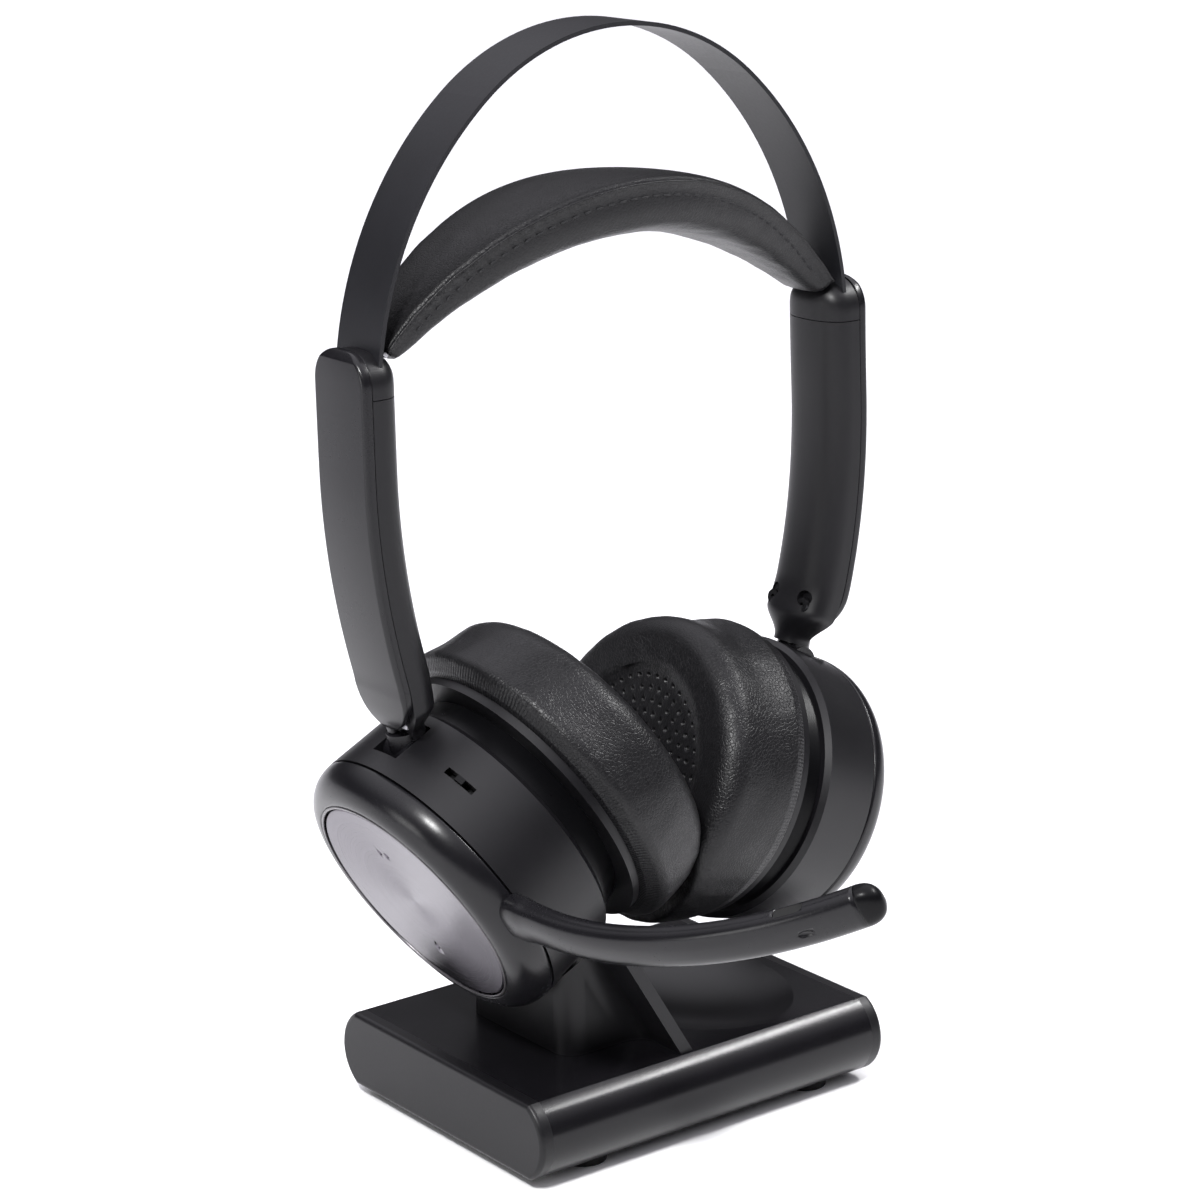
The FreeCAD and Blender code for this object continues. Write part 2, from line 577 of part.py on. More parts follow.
def make_outer_face(side):
    """Ring, bezel and disc that close the cup. On the left the ring turns and carries the boom."""
    name = side_name(side)
    place = cup_place(side)
    seam = dim(own(side, "seam_out"))
    face = dim(own(side, "face_out"))
    ring = turned(name + "_ring_turned", own_points(side, [
        ("hub_radius + running", "seam_out + 0.3"), ("barrel_radius", "seam_out + 0.3"),
        ("barrel_radius", "seam_out + ring_side"), ("lip_radius + 3.6", "face_out - 1.0"),
        ("lip_radius + 0.9", "face_out"),
        ("lip_radius + 0.9", "face_out - 0.9"), ("lip_radius", "face_out - 0.9"),
        ("lip_radius", "seam_out + hub_rise + 0.6"), ("hub_radius + running", "seam_out + hub_rise")]))
    soften(ring, "5", dim(own(side, "barrel_radius")), seam + dim(own(side, "ring_side")))
    soften(ring, "1.2", dim("lip_radius") + 3.6, face - 1.0)
    bezel = turned(name + "_bezel_turned", own_points(side, [
        ("lip_radius - 0.5", "face_out - 0.8"), ("lip_radius + 0.85", "face_out - 0.8"),
        ("lip_radius + 0.85", "face_out + 0.2"), ("lip_radius + 0.1", "face_out + 0.2")]))
    piece(name + "_bezel", bezel, place)
    disc = turned(name + "_disc_turned", own_points(side, [
        ("0", "face_out - 1.6"), ("disc_radius", "face_out - 1.6"), ("disc_radius", "face_out - 0.1"),
        ("0", "face_out - 0.5")]))
    stalk_foot = seam + dim(own(side, "hub_rise")) + 1.0
    stalk = solid("Cylinder", name + "_disc_stalk", (0, 0, stalk_foot), Radius="8")
    stalk.Height = face - 1.2 - stalk_foot
    piece(name + "_outer_disc", fuse(name + "_disc", disc, stalk), place)
    return ring


def make_boom(ring):
    """Boom arm: straight out of the ring, then bent inwards towards the mouth."""
    place = cup_place(-1)
    raise_turn = Rotation(Vector(0, 0, 1), dim("boom_lift"))
    out = dim("boom_out") - 2.2
    bend = dim("boom_bend")
    sweep = math.radians(dim("boom_sweep"))
    start = Vector(0, -(dim("lip_radius") + 2.5), out + 1.6)
    knee = Vector(0, -dim("boom_straight"), out)
    half = Vector(0, -dim("boom_straight") - bend * math.sin(sweep / 2),
                  out - bend * (1 - math.cos(sweep / 2)))
    tip = Vector(0, -dim("boom_straight") - bend * math.sin(sweep), out - bend * (1 - math.cos(sweep)))
    straight = Part.LineSegment(start + Vector(0, 0, -1.6), knee).toShape()
    path = Part.Wire([straight, Part.Arc(knee, half, tip).toShape()])
    section = Part.Ellipse(Vector(0, 0, 0), dim("boom_height") / 2, dim("boom_thick") / 2)
    wire = Part.Wire([section.toShape()])
    across = Rotation(Vector(1, 0, 0), Vector(0, 0, 1), Vector(0, -1, 0), "XYZ")
    wire.Placement = Placement(start + Vector(0, 0, -1.6), across)
    arm = path.makePipeShell([wire], True, False)
    end_turn = Rotation(Vector(1, 0, 0), math.degrees(sweep))
    nose = doc.addObject("Part::Ellipsoid", "nose")
    nose.Radius1 = dim("boom_thick") / 2
    nose.Radius2 = dim("boom_height") / 2
    nose.Radius3 = 5.0
    nose.Angle1 = -90
    doc.recompute()
    nose_shape = nose.Shape.copy()
    nose_shape.Placement = Placement(tip, end_turn)
    body = arm.cut(nose_shape)
    slot_turn = Rotation(Vector(1, 0, 0), dim("mic_along"))
    along = math.radians(dim("mic_along"))
    slot_at = Vector(0, -dim("boom_straight") - bend * math.sin(along), out - bend * (1 - math.cos(along)))
    slot = Part.makeBox(2.2, 7.0, 3.0, Vector(dim("boom_height") / 2 - 1.6, -3.5, -1.5))
    slot.Placement = Placement(slot_at, slot_turn)
    body = body.cut(slot)
    boom = doc.addObject("Part::Feature", "boom_body")
    boom.Shape = body.removeSplitter()
    boom.Placement = Placement(Vector(0, 0, 0), raise_turn)
    hub = solid("Cylinder", "boom_clear", (0, 0, 10), Radius="lip_radius + 1.5", Height="40")
    barrel = solid("Cylinder", "barrel_clear", (0, 0, 10),
                   Radius="barrel_radius + 0.4", Height="seam_out - 9.7")
    trimmed = cut("boom_trim", boom, hub, barrel)
    piece("boom_ring", ring, place)
    ring_solid = doc.addObject("Part::Feature", "ring_room")
    doc.recompute()
    room = ring.Shape.copy()
    room.Placement = Placement()
    ring_solid.Shape = room
    piece("boom_arm", cut("boom_arm_cut", trimmed, ring_solid), place)
    turn = Placement(Vector(0, 0, 0), raise_turn)
    piece("boom_tip", nose, place.multiply(turn).multiply(Placement(tip, end_turn)))
    mic = doc.addObject("Part::Box", "mic_capsule")
    mic.Length, mic.Width, mic.Height = 1.2, 6.6, 2.6
    at = Placement(slot_at, slot_turn)
    inside = Placement(Vector(dim("boom_height") / 2 - 1.5, -3.3, -1.3), Rotation())
    piece("mic_capsule", mic, place.multiply(turn).multiply(at).multiply(inside))


# ---------------------------------------------------------------- arms and necks

def neck_axis(side):
    return Rotation(Vector(0, 1, 0), side * dim("neck_lean"))


def make_neck(side):
    """Neck that turns in the slider's socket and holds the cup on its tilt pin."""
    name = side_name(side)
    place = Placement(Vector(side * dim("pivot_x"), 0, dim("pivot_z")), neck_axis(side))
    eye = solid("Cylinder", name + "_eye", (0, -4.1, 0), ALONG_Y, Radius="neck_radius + 0.3", Height="8.2")
    column = solid("Cylinder", name + "_column", Radius="neck_radius", Height="6.2")
    waist = doc.addObject("Part::Cone", name + "_waist_cone")
    waist.setExpression("Radius1", bound("neck_radius"))
    waist.setExpression("Radius2", bound("stem_radius"))
    waist.Height = 0.6
    waist.Placement = Placement(Vector(0, 0, 6.2), Rotation())
    stem = solid("Cylinder", name + "_stem", (0, 0, 6.4), Radius="stem_radius", Height="6.0")
    whole = fuse(name + "_neck_whole", eye, column, waist, stem)
    bore = solid("Cylinder", name + "_eye_bore", (0, -6, 0), ALONG_Y,
                 Radius="pin_radius + running", Height="12")
    piece(name + "_neck", cut(name + "_neck_cut", whole, bore), place)


def socket_box(name, grow, low):
    """The slider's lower block from a height up, or the room for it when grow is above zero."""
    return block(name, (dim("socket_x") - grow, -dim("tongue_half") - grow, low),
                 (dim("slider_x") + grow, dim("tongue_half") + grow, dim("socket_top") + grow))


def slider_box(name, grow, low):
    """The slider's flat bar from a height up, or the room for it when grow is above zero."""
    outer_x = dim("slider_x") + dim("slider_bar") + grow
    return block(name, (dim("slider_x") - grow, -dim("bar_half") - grow, low),
                 (outer_x, dim("bar_half") + grow, dim("slider_top") + grow))


def mirrored_place(side):
    """Left pieces are the right ones turned half a turn about Z."""
    return Placement(Vector(0, 0, 0), Rotation(Vector(0, 0, 1), 180 if side < 0 else 0))


def make_slider(side):
    name = side_name(side) + "_slider"
    whole = fuse(name + "_whole", socket_box(name + "_socket", 0, dim("slider_foot")),
                 slider_box(name + "_bar", 0, dim("slider_foot") + 2.4))
    bore = solid("Cylinder", name + "_bore", Radius="stem_radius + running", Height="12")
    low_bore = solid("Cylinder", name + "_low_bore", Radius="neck_radius + 0.3", Height="7.1")
    axis = Placement(Vector(dim("pivot_x"), 0, dim("pivot_z")), neck_axis(1))
    bore.Placement = axis.multiply(Placement(Vector(0, 0, 5), Rotation()))
    low_bore.Placement = axis
    piece(name, cut(name + "_cut", whole, bore, low_bore), mirrored_place(side))


def arm_slice(name, inner, outer, low, high):
    """Bent arm between two radii of its bend, straight above the bend's centre height."""
    centre = (dim("arm_centre_x"), -dim("arm_width") / 2, dim("arm_centre_z"))
    drums = []
    for number, radius in enumerate((outer, inner)):
        drum = solid("Cylinder", "%s_drum_%d" % (name, number), centre, ALONG_Y, Height="arm_width")
        drum.setExpression("Radius", bound(radius))
        drums.append(drum)
    bend = cut(name + "_bend", *drums)
    half = dim("arm_width") / 2
    lower = block(name + "_lower", (40, -half, low), (90, half, dim("arm_centre_z")))
    bend = common(name + "_bend_part", bend, lower)
    straight = solid("Box", name + "_straight", Width="arm_width")
    straight.setExpression("Length", bound("(%s) - (%s)" % (outer, inner)))
    straight.Height = high - dim("arm_centre_z")
    start = dim("arm_centre_x") + radius_value(inner)
    straight.Placement = Placement(Vector(start, -half, dim("arm_centre_z")), Rotation())
    return fuse(name + "_long", bend, straight)


def radius_value(text):
    """Number behind one of the arm's radii, which are a dimension with or without the plate."""
    value = dim("arm_inner") if "inner" in text else dim("arm_outer")
    return value - dim("arm_plate") if "plate" in text else value


def arm_silhouette(name):
    """Front-to-back outline of the arm: corners rounded at the top, a half circle at the bottom."""
    half = dim("arm_width") / 2
    low = dim("arm_bottom")
    high = dim("arm_top")
    tall = block(name + "_tall", (40, -half, low + half), (90, half, high))
    tall = rounded(name + "_tall_soft", tall, dim("arm_shoulder"),
                   lambda edge: all(abs(v.Point.z - high) < 0.01 for v in edge.Vertexes)
                   and abs(edge.tangentAt(edge.FirstParameter).x) > 0.9)
    foot = solid("Cylinder", name + "_round", (40, 0, low + half), ALONG_X, Height="50")
    foot.Radius = half
    return fuse(name + "_silhouette", tall, foot)


def make_arm(side):
    name = side_name(side) + "_arm"
    place = mirrored_place(side)
    body = common(name + "_trimmed", arm_slice(name + "_core", "arm_inner", "arm_outer - arm_plate",
                                                dim("arm_bottom") - 1, dim("arm_seam")),
                  arm_silhouette(name + "_core"))
    body = rounded(name + "_softened", body, dim("arm_edge"), along_inner_side)
    cup_room = solid("Cylinder", name + "_cup_room", Height="40",
                     Radius=own(side, "barrel_radius") + " + cup_clear")
    cup_room.Placement = place.inverse().multiply(cup_place(side))
    below = dim("slider_foot") - dim("sink")
    rooms = group(name + "_rooms", socket_box(name + "_socket_room", 0.1, below),
                  slider_box(name + "_bar_room", 0.1, below), neck_room(name), *screw_rooms(name))
    half_band = dim("band_width") / 2 + 0.1
    band_x = band_foot_x()
    band_room = block(name + "_band_room",
                      (band_x - dim("band_thick") - 0.1, -half_band, dim("band_foot") - 0.2),
                      (band_x + 0.1, half_band, dim("arm_top") + 1))
    piece(name + "_body", cut(name + "_hollowed", body, rooms, band_room, cup_room), place)
    plate = common(name + "_plate_cut", arm_slice(name + "_skin", "arm_outer - arm_plate", "arm_outer",
                                                  dim("arm_bottom") - 1, dim("arm_top")),
                   arm_silhouette(name + "_skin"))
    plate = rounded(name + "_plate_soft", plate, dim("plate_edge"), on_outer_skin)
    plate_rooms = group(name + "_plate_rooms", socket_box(name + "_plate_socket", 0.1, below),
                        slider_box(name + "_plate_bar", 0.1, below), neck_room(name + "_plate"))
    piece(name + "_plate", cut(name + "_plate_hollowed", plate, plate_rooms), place)
    piece(name + "_screws", group(name + "_screw_pair", *arm_screws(name)), place)
    low = dim("arm_centre_x") + dim("arm_inner")
    high = dim("arm_centre_x") + dim("arm_outer") - dim("arm_plate")
    half = dim("arm_width") / 2
    cap = block(name + "_cap_block", (low, -half, dim("arm_seam") + 0.1), (high, half, dim("arm_top")))
    cap = rounded(name + "_cap_soft", cap, dim("cap_shoulder"),
                  lambda edge: all(abs(v.Point.z - dim("arm_top")) < 0.01 for v in edge.Vertexes)
                  and abs(edge.tangentAt(edge.FirstParameter).x) > 0.9)
    cap = rounded(name + "_cap_softer", cap, dim("cap_edge"),
                  lambda edge: all(abs(v.Point.x - low) < 0.01 for v in edge.Vertexes))
    cap_band_room = block(name + "_cap_band_room",
                          (band_x - dim("band_thick") - 1.2, -half_band, dim("arm_seam") - 1),
                          (band_x + 0.1, half_band, dim("arm_top") + 1))
    half_strip = dim("strip_half") + 0.3
    strip_room = block(name + "_strip_room", (low - 1, -half_strip, dim("arm_top") - dim("strip_notch")),
                       (low + dim("strip_notch"), half_strip, dim("arm_top") + 1))
    piece(name + "_cap", cut(name + "_cap_cut", cap, cap_band_room, strip_room), place)


def neck_room(name):
    """Room for the upper end of the neck in the lower end of the arm."""
    room = solid("Cylinder", name + "_neck_room", Radius="neck_radius + 0.4", Height="7.1")
    room.Placement = Placement(Vector(dim("pivot_x"), 0, dim("pivot_z")), neck_axis(1))
    return room


def screw_places():
    """Frames of the two screws in the arm's inner face: Z points into the arm."""
    height = dim("screw_height")
    drop = math.asin((dim("arm_centre_z") - height) / dim("arm_inner"))
    centre = Vector(dim("arm_centre_x"), 0, dim("arm_centre_z"))
    at = centre + Vector(math.cos(drop), 0, -math.sin(drop)) * dim("arm_inner")
    turn = Rotation(Vector(0, 1, 0), 90 + math.degrees(drop))
    return [Placement(at + Vector(0, y, 0), turn) for y in (-dim("screw_spread"), dim("screw_spread"))]


def screw_rooms(name):
    rooms = []
    for place in screw_places():
        room = solid("Cylinder", name + "_screw_room", Radius="screw_hole", Height="2.9")
        room.Placement = place.multiply(Placement(Vector(0, 0, -1), Rotation()))
        shank = solid("Cylinder", name + "_shank_room", Radius="0.8", Height="3.4")
        shank.Placement = place
        rooms += [room, shank]
    return rooms


def arm_screws(name):
    screws = []
    for place in screw_places():
        head = solid("Cylinder", name + "_screw_head", (0, 0, 0.7), Radius="screw_head", Height="1.1")
        shank = solid("Cylinder", name + "_screw_shank", (0, 0, 1.5), Radius="0.75", Height="1.8")
        socket = solid("Cylinder", name + "_screw_socket", (0, 0, 0.6), Radius="0.6", Height="0.7")
        screw = cut(name + "_screw", fuse(name + "_screw_whole", head, shank), socket)
        screw.Placement = place
        screws.append(screw)
    return screws


def along_inner_side(edge):
    """Long edges of the arm body's inner face."""
    ends = [v.Point for v in edge.Vertexes]
    if len(ends) < 2 or (ends[0] - ends[1]).Length < 12:
        return False
    half = dim("arm_width") / 2
    if not all(abs(abs(p.y) - half) < 0.01 for p in ends):
        return False
    centre = Vector(dim("arm_centre_x"), 0, dim("arm_centre_z"))
    reach = dim("arm_inner")
    for p in ends:
        flat = Vector(p.x, 0, p.z) - centre
        distance = flat.x if p.z > dim("arm_centre_z") - 0.01 else flat.Length
        if abs(distance - reach) > 0.05:
            return False
    return True


def on_outer_skin(edge):
    """Edges that border the plate's outer face."""
    centre = Vector(dim("arm_centre_x"), 0, dim("arm_centre_z"))
    first = edge.FirstParameter
    last = edge.LastParameter
    points = [edge.valueAt(first + (last - first) * share) for share in (0.0, 0.5, 1.0)]
    for p in points:
        flat = Vector(p.x, 0, p.z) - centre
        distance = flat.x if p.z > dim("arm_centre_z") - 0.01 else flat.Length
        if abs(distance - dim("arm_outer")) > 0.02:
            return False
    level = all(abs(p.z - dim("arm_centre_z")) < 0.01 for p in points)
    return (points[0] - points[2]).Length > 0.5 and not level


# ---------------------------------------------------------------- head bands

def band_foot_x():
    """Outer face of the band where it runs straight down into the arm."""
    crown = math.radians(dim("crown_angle"))
    crown_r = dim("crown_radius")
    flank_r = dim("flank_radius")
    centre_x = (crown_r - flank_r) * math.sin(crown)
    return centre_x + flank_r


def band_face(shrink):
    """XZ points and arcs of the outer band's face, drawn in by shrink."""
    crown = math.radians(dim("crown_angle"))
    crown_r = dim("crown_radius")
    flank_r = dim("flank_radius")
    top = Vector(0, 0, dim("band_top") - crown_r)
    flank = top + Vector((crown_r - flank_r) * math.sin(crown), 0, (crown_r - flank_r) * math.cos(crown))

    def on(centre, radius, angle):
        return centre + Vector(radius * math.sin(angle), 0, radius * math.cos(angle))
    quarter = math.pi / 2
    foot = on(flank, flank_r - shrink, quarter)
    bend = on(flank, flank_r - shrink, (crown + quarter) / 2)
    knee = on(top, crown_r - shrink, crown)
    peak = on(top, crown_r - shrink, 0)
    low = Vector(foot.x, 0, dim("band_foot"))

    def flip(p):
        return Vector(-p.x, p.y, p.z)
    return [
        Part.LineSegment(low, foot).toShape(),
        Part.Arc(foot, bend, knee).toShape(),
        Part.Arc(knee, peak, flip(knee)).toShape(),
        Part.Arc(flip(knee), flip(bend), flip(foot)).toShape(),
        Part.LineSegment(flip(foot), flip(low)).toShape(),
    ], low


def make_outer_band():
    outer_edges, outer_low = band_face(0)
    inner_edges, inner_low = band_face(dim("band_thick"))
    far_outer = Vector(-outer_low.x, 0, outer_low.z)
    far_inner = Vector(-inner_low.x, 0, inner_low.z)
    ends = [Part.LineSegment(outer_low, inner_low).toShape(), Part.LineSegment(far_outer, far_inner).toShape()]
    wire = Part.Wire(Part.__sortEdges__(outer_edges + inner_edges + ends))
    band = Part.Face(wire).extrude(Vector(0, dim("band_width"), 0))
    feature = doc.addObject("Part::Feature", "outer_band_solid")
    feature.Shape = band
    piece("outer_band", feature, Placement(Vector(0, -dim("band_width") / 2, 0), Rotation()))


def pad_section(angle, shrink):
    """Closed section of the padded band at an angle from its crown, drawn in by shrink."""
    share = abs(angle) / dim("pad_sweep")
    swell = math.cos(math.pi / 2 * share) ** 1.1
    width = dim("pad_narrow") + (dim("pad_wide") - dim("pad_narrow")) * swell
    over = dim("pad_over_end") + (dim("pad_over") - dim("pad_over_end")) * swell
    fullness = math.cos(math.pi / 2 * share) ** 0.8
    under = dim("pad_under_end") + (dim("pad_under") - dim("pad_under_end")) * fullness
    half = width / 2 - shrink
    turn = Rotation(Vector(0, 1, 0), angle)
    centre = Vector(0, 0, dim("pad_arch_top") - dim("pad_arch"))
    arch = dim("pad_arch")
    shape = [(-half, 0), (-half * 0.55, over * 0.82), (0, over), (half * 0.55, over * 0.82), (half, 0),
             (half * 0.82, -under * 0.72), (half * 0.35, -under),
             (-half * 0.35, -under), (-half * 0.82, -under * 0.72)]
    points = [centre + turn.multVec(Vector(0, y, arch + up)) for y, up in shape]
    curve = Part.BSplineCurve()
    curve.interpolate(points, PeriodicFlag=True)
    return Part.Wire([curve.toShape()])


def make_padded_band():
    sweep = dim("pad_sweep")
    angles = [sweep * share for share in (-1, -0.8, -0.55, -0.28, 0, 0.28, 0.55, 0.8, 1)]
    pad = Part.makeLoft([pad_section(angle, 0) for angle in angles], True, False)
    centre = Vector(0, 0, dim("pad_arch_top") - dim("pad_arch"))

    def strip(thick, half, extra):
        arch = dim("pad_arch")
        reach = math.radians(sweep + extra)
        edges = []
        rims = []
        for radius in (arch - dim("strip_drop"), arch - dim("strip_drop") - thick):
            points = [centre + Vector(radius * math.sin(a), 0, radius * math.cos(a))
                      for a in (-reach, 0, reach)]
            rims.append(points)
            edges.append(Part.Arc(*points).toShape())
        for end in (0, 2):
            edges.append(Part.LineSegment(rims[0][end], rims[1][end]).toShape())
        face = Part.Face(Part.Wire(Part.__sortEdges__(edges)))
        face.translate(Vector(0, -half, 0))
        return face.extrude(Vector(0, 2 * half, 0))
    thick = dim("strip_thick")
    half_strip = dim("strip_half")
    carrier = strip(thick, half_strip, 0.6)
    cushion = doc.addObject("Part::Feature", "cushion")
    cushion.Shape = pad.cut(strip(thick + 0.2, half_strip + 0.1, 4.0).translated(Vector(0, 0, 0.1)))
    piece("inner_band_pad", cushion, Placement())
    feature = doc.addObject("Part::Feature", "carrier")
    feature.Shape = carrier
    piece("inner_band_strip", feature, Placement())


# ---------------------------------------------------------------- assembly

make_base()
make_post()
for cup_side in (-1, 1):
    make_pad(cup_side)
    make_housing(cup_side)
    make_cup_inside(cup_side)
    make_switch(cup_side)
    face_ring = make_outer_face(cup_side)
    if cup_side < 0:
        make_boom(face_ring)
    else:
        piece("right_ring", face_ring, cup_place(1))
    make_neck(cup_side)
    make_slider(cup_side)
    make_arm(cup_side)
make_outer_band()
make_padded_band()
doc.recompute()

for item in doc.Objects:
    if "Invalid" in item.State or "Error" in item.State:
        raise RuntimeError("%s failed: %s" % (item.Label, item.State))
for item in PIECES:
    if item.Shape.isNull() or not item.Shape.isValid():
        raise RuntimeError("%s has no valid shape" % item.Label)

os.makedirs("parts", exist_ok=True)
for item in PIECES:
    item.Shape.exportStep("parts/%s.step" % item.Label)
    print("%-24s %9.1f mm3  %d solid(s)" % (item.Label, item.Shape.Volume, len(item.Shape.Solids)))
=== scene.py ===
import json
import math
from collections import namedtuple

import bmesh
import bpy
from mathutils import Matrix, Vector, noise


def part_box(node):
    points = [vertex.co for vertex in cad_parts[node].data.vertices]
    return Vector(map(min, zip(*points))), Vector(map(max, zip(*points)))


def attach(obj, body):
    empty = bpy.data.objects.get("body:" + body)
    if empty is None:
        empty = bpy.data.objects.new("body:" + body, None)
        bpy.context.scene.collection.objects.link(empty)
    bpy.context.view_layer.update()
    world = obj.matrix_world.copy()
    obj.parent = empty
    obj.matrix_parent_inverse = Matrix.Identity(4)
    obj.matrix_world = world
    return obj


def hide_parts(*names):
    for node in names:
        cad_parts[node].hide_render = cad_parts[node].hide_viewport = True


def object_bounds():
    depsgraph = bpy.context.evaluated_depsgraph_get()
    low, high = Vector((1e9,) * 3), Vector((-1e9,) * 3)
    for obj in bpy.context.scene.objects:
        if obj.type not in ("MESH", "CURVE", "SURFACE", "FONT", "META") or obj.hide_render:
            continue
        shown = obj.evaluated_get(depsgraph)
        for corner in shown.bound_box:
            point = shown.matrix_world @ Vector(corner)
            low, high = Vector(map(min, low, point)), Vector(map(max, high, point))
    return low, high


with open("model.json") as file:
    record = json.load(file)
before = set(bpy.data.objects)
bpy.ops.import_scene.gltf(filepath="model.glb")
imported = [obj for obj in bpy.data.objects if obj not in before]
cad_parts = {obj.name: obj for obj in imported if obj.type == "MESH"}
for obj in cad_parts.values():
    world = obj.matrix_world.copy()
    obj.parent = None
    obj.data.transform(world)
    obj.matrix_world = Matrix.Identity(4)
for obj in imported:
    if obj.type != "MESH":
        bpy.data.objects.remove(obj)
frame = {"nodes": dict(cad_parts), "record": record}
CAD_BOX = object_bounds()
JOINTS = {joint["name"]: joint for joint in frame["record"]["behaviour"]["joints"]}
SLOT_OF = {entry["node"]: entry["material_slot"] for entry in frame["record"]["subparts"]}

# Named sizes are in millimetres and named angles in degrees, unless a comment says otherwise.
MM = 0.001
LEFT = -1
RIGHT = 1
SIDES = (LEFT, RIGHT)
X_AXIS = Vector((1, 0, 0))
Y_AXIS = Vector((0, 1, 0))
Z_AXIS = Vector((0, 0, 1))
# how far a cutter reaches past the surface that it cuts
CUT_ROOM = 1.0

# An ear cup has its own frame: +Z out of the cup through its disc, +X up, and zero where the pad's
# base meets the cup's axis. The tilt pivot lies up and out from there.
PIVOT_UP = 30.8
PIVOT_OUT = 19.3


def side_name(side):
    return "left" if side < 0 else "right"


def cup_frame(side):
    """Frame of an ear cup, from its tilt pivot and the direction its outer disc is pressed in."""
    name = side_name(side)
    out = -Vector(JOINTS[name + "_disc_press"]["axis"]).normalized()
    pivot = Vector(JOINTS[name + "_tilt"]["pos_m"])
    up = Y_AXIS.cross(out)
    if up.z < 0:
        up = -up
    origin = pivot - up * PIVOT_UP * MM - out * PIVOT_OUT * MM
    turn = Matrix((up, out.cross(up), out)).transposed()
    return Matrix.Translation(origin) @ turn.to_4x4()


# ---------------------------------------------------------------- meshes

NO_LENGTH = 1e-6
NEARLY_HALF = 0.49


def build(name, verts, faces, place=None, scale=MM):
    """A smooth shaded mesh object from vertices in millimetres, or in another unit of the given scale."""
    mesh = bpy.data.meshes.new(name)
    mesh.from_pydata([Vector(v) * scale for v in verts], [], faces)
    mesh.validate()
    piece = bpy.data.objects.new(name, mesh)
    bpy.context.scene.collection.objects.link(piece)
    piece.matrix_world = place or Matrix.Identity(4)
    work = bmesh.new()
    work.from_mesh(mesh)
    bmesh.ops.recalc_face_normals(work, faces=work.faces)
    work.to_mesh(mesh)
    work.free()
    for polygon in mesh.polygons:
        polygon.use_smooth = True
    return piece


def fillet(before, corner, after, steps):
    """Arc that rounds off an (across, along, radius) corner between its two neighbours."""
    point = Vector(corner[:2])
    back = Vector(before[:2]) - point
    onward = Vector(after[:2]) - point
    half = back.angle(onward) / 2
    reach = min(corner[2] / math.tan(half), NEARLY_HALF * back.length, NEARLY_HALF * onward.length)
    if reach < NO_LENGTH:
        return [point]
    radius = reach * math.tan(half)
    towards_centre = (back.normalized() + onward.normalized()).normalized()
    centre = point + towards_centre * radius / math.sin(half)
    first = point + back.normalized() * reach - centre
    last = point + onward.normalized() * reach - centre
    sweep = first.angle_signed(last)
    return [centre + Matrix.Rotation(-sweep * step / steps, 2) @ first for step in range(steps + 1)]


def rounded(corners, steps=8, longest=None):
    """Path through (across, along, fillet) corners, with its inner corners rounded.

    Stretches over the longest length, where one is given, are divided evenly.
    """
    path = [Vector(corners[0][:2])]
    for before, corner, after in zip(corners, corners[1:], corners[2:]):
        path += fillet(before, corner, after, steps)
    path.append(Vector(corners[-1][:2]))
    if longest is None:
        return path
    fine = [path[0]]
    for start, end in zip(path, path[1:]):
        parts = max(1, math.ceil((end - start).length / longest))
        fine += [start.lerp(end, part / parts) for part in range(1, parts + 1)]
    return fine


def lathe(name, path, place, segments, closed=True):
    """Surface turned about Z from (radius, height) points.

    A closed path makes a ring. An open one starts and ends on the axis.
    """
    verts = []
    rings = []
    for point in path:
        if abs(point[0]) < NO_LENGTH:
            rings.append([len(verts)])
            verts.append((0, 0, point[1]))
            continue
        rings.append(range(len(verts), len(verts) + segments))
        for step in range(segments):
            turn = 2 * math.pi * step / segments
            verts.append((point[0] * math.cos(turn), point[0] * math.sin(turn), point[1]))
    pairs = list(zip(rings, rings[1:]))
    if closed:
        pairs.append((rings[-1], rings[0]))
    faces = []
    for low, high in pairs:
        for step in range(segments):
            after = (step + 1) % segments
            face = [low[step % len(low)], low[after % len(low)],
                    high[after % len(high)], high[step % len(high)]]
            faces.append(list(dict.fromkeys(face)))
    return build(name, verts, [face for face in faces if len(face) > 2], place)


def cylinder(name, radius, low, high, place, segments):
    """Closed cylinder along Z between two heights."""
    path = [Vector((0, low)), Vector((radius, low)), Vector((radius, high)), Vector((0, high))]
    return lathe(name, path, place, segments, closed=False)


def skin(first, rings, count):
    """Faces of a tube with capped ends, over rings of count vertices numbered from first."""
    faces = []
    for ring in range(rings - 1):
        low = first + ring * count
        high = low + count
        for step in range(count):
            after = (step + 1) % count
            faces.append([low + step, low + after, high + after, high + step])
    faces.append(list(range(first, first + count)))
    faces.append(list(range(first + (rings - 1) * count, first + rings * count)))
    return faces


def tube(name, centres, frames, section, place):
    """Closed surface swept through centres.

    Each frame is an (across, over) pair of directions, and section(index) gives a ring's points in it.
    """
    verts = []
    for index, (centre, (across, over)) in enumerate(zip(centres, frames)):
        for a, b in section(index):
            verts.append(centre + across * a + over * b)
    return build(name, verts, skin(0, len(centres), len(section(0))), place)


def apply_modifiers(piece):
    graph = bpy.context.evaluated_depsgraph_get()
    mesh = bpy.data.meshes.new_from_object(piece.evaluated_get(graph))
    piece.modifiers.clear()
    piece.data = mesh


def bored(piece, cutters):
    """Cuts closed meshes out of a piece and removes them."""
    bpy.ops.object.select_all(action="DESELECT")
    for cutter in cutters:
        cutter.select_set(True)
    bpy.context.view_layer.objects.active = cutters[0]
    if len(cutters) > 1:
        bpy.ops.object.join()
    cutter = bpy.context.view_layer.objects.active
    cutting = piece.modifiers.new("bore", "BOOLEAN")
    cutting.operation = "DIFFERENCE"
    cutting.solver = "EXACT"
    cutting.object = cutter
    apply_modifiers(piece)
    bpy.data.objects.remove(cutter)


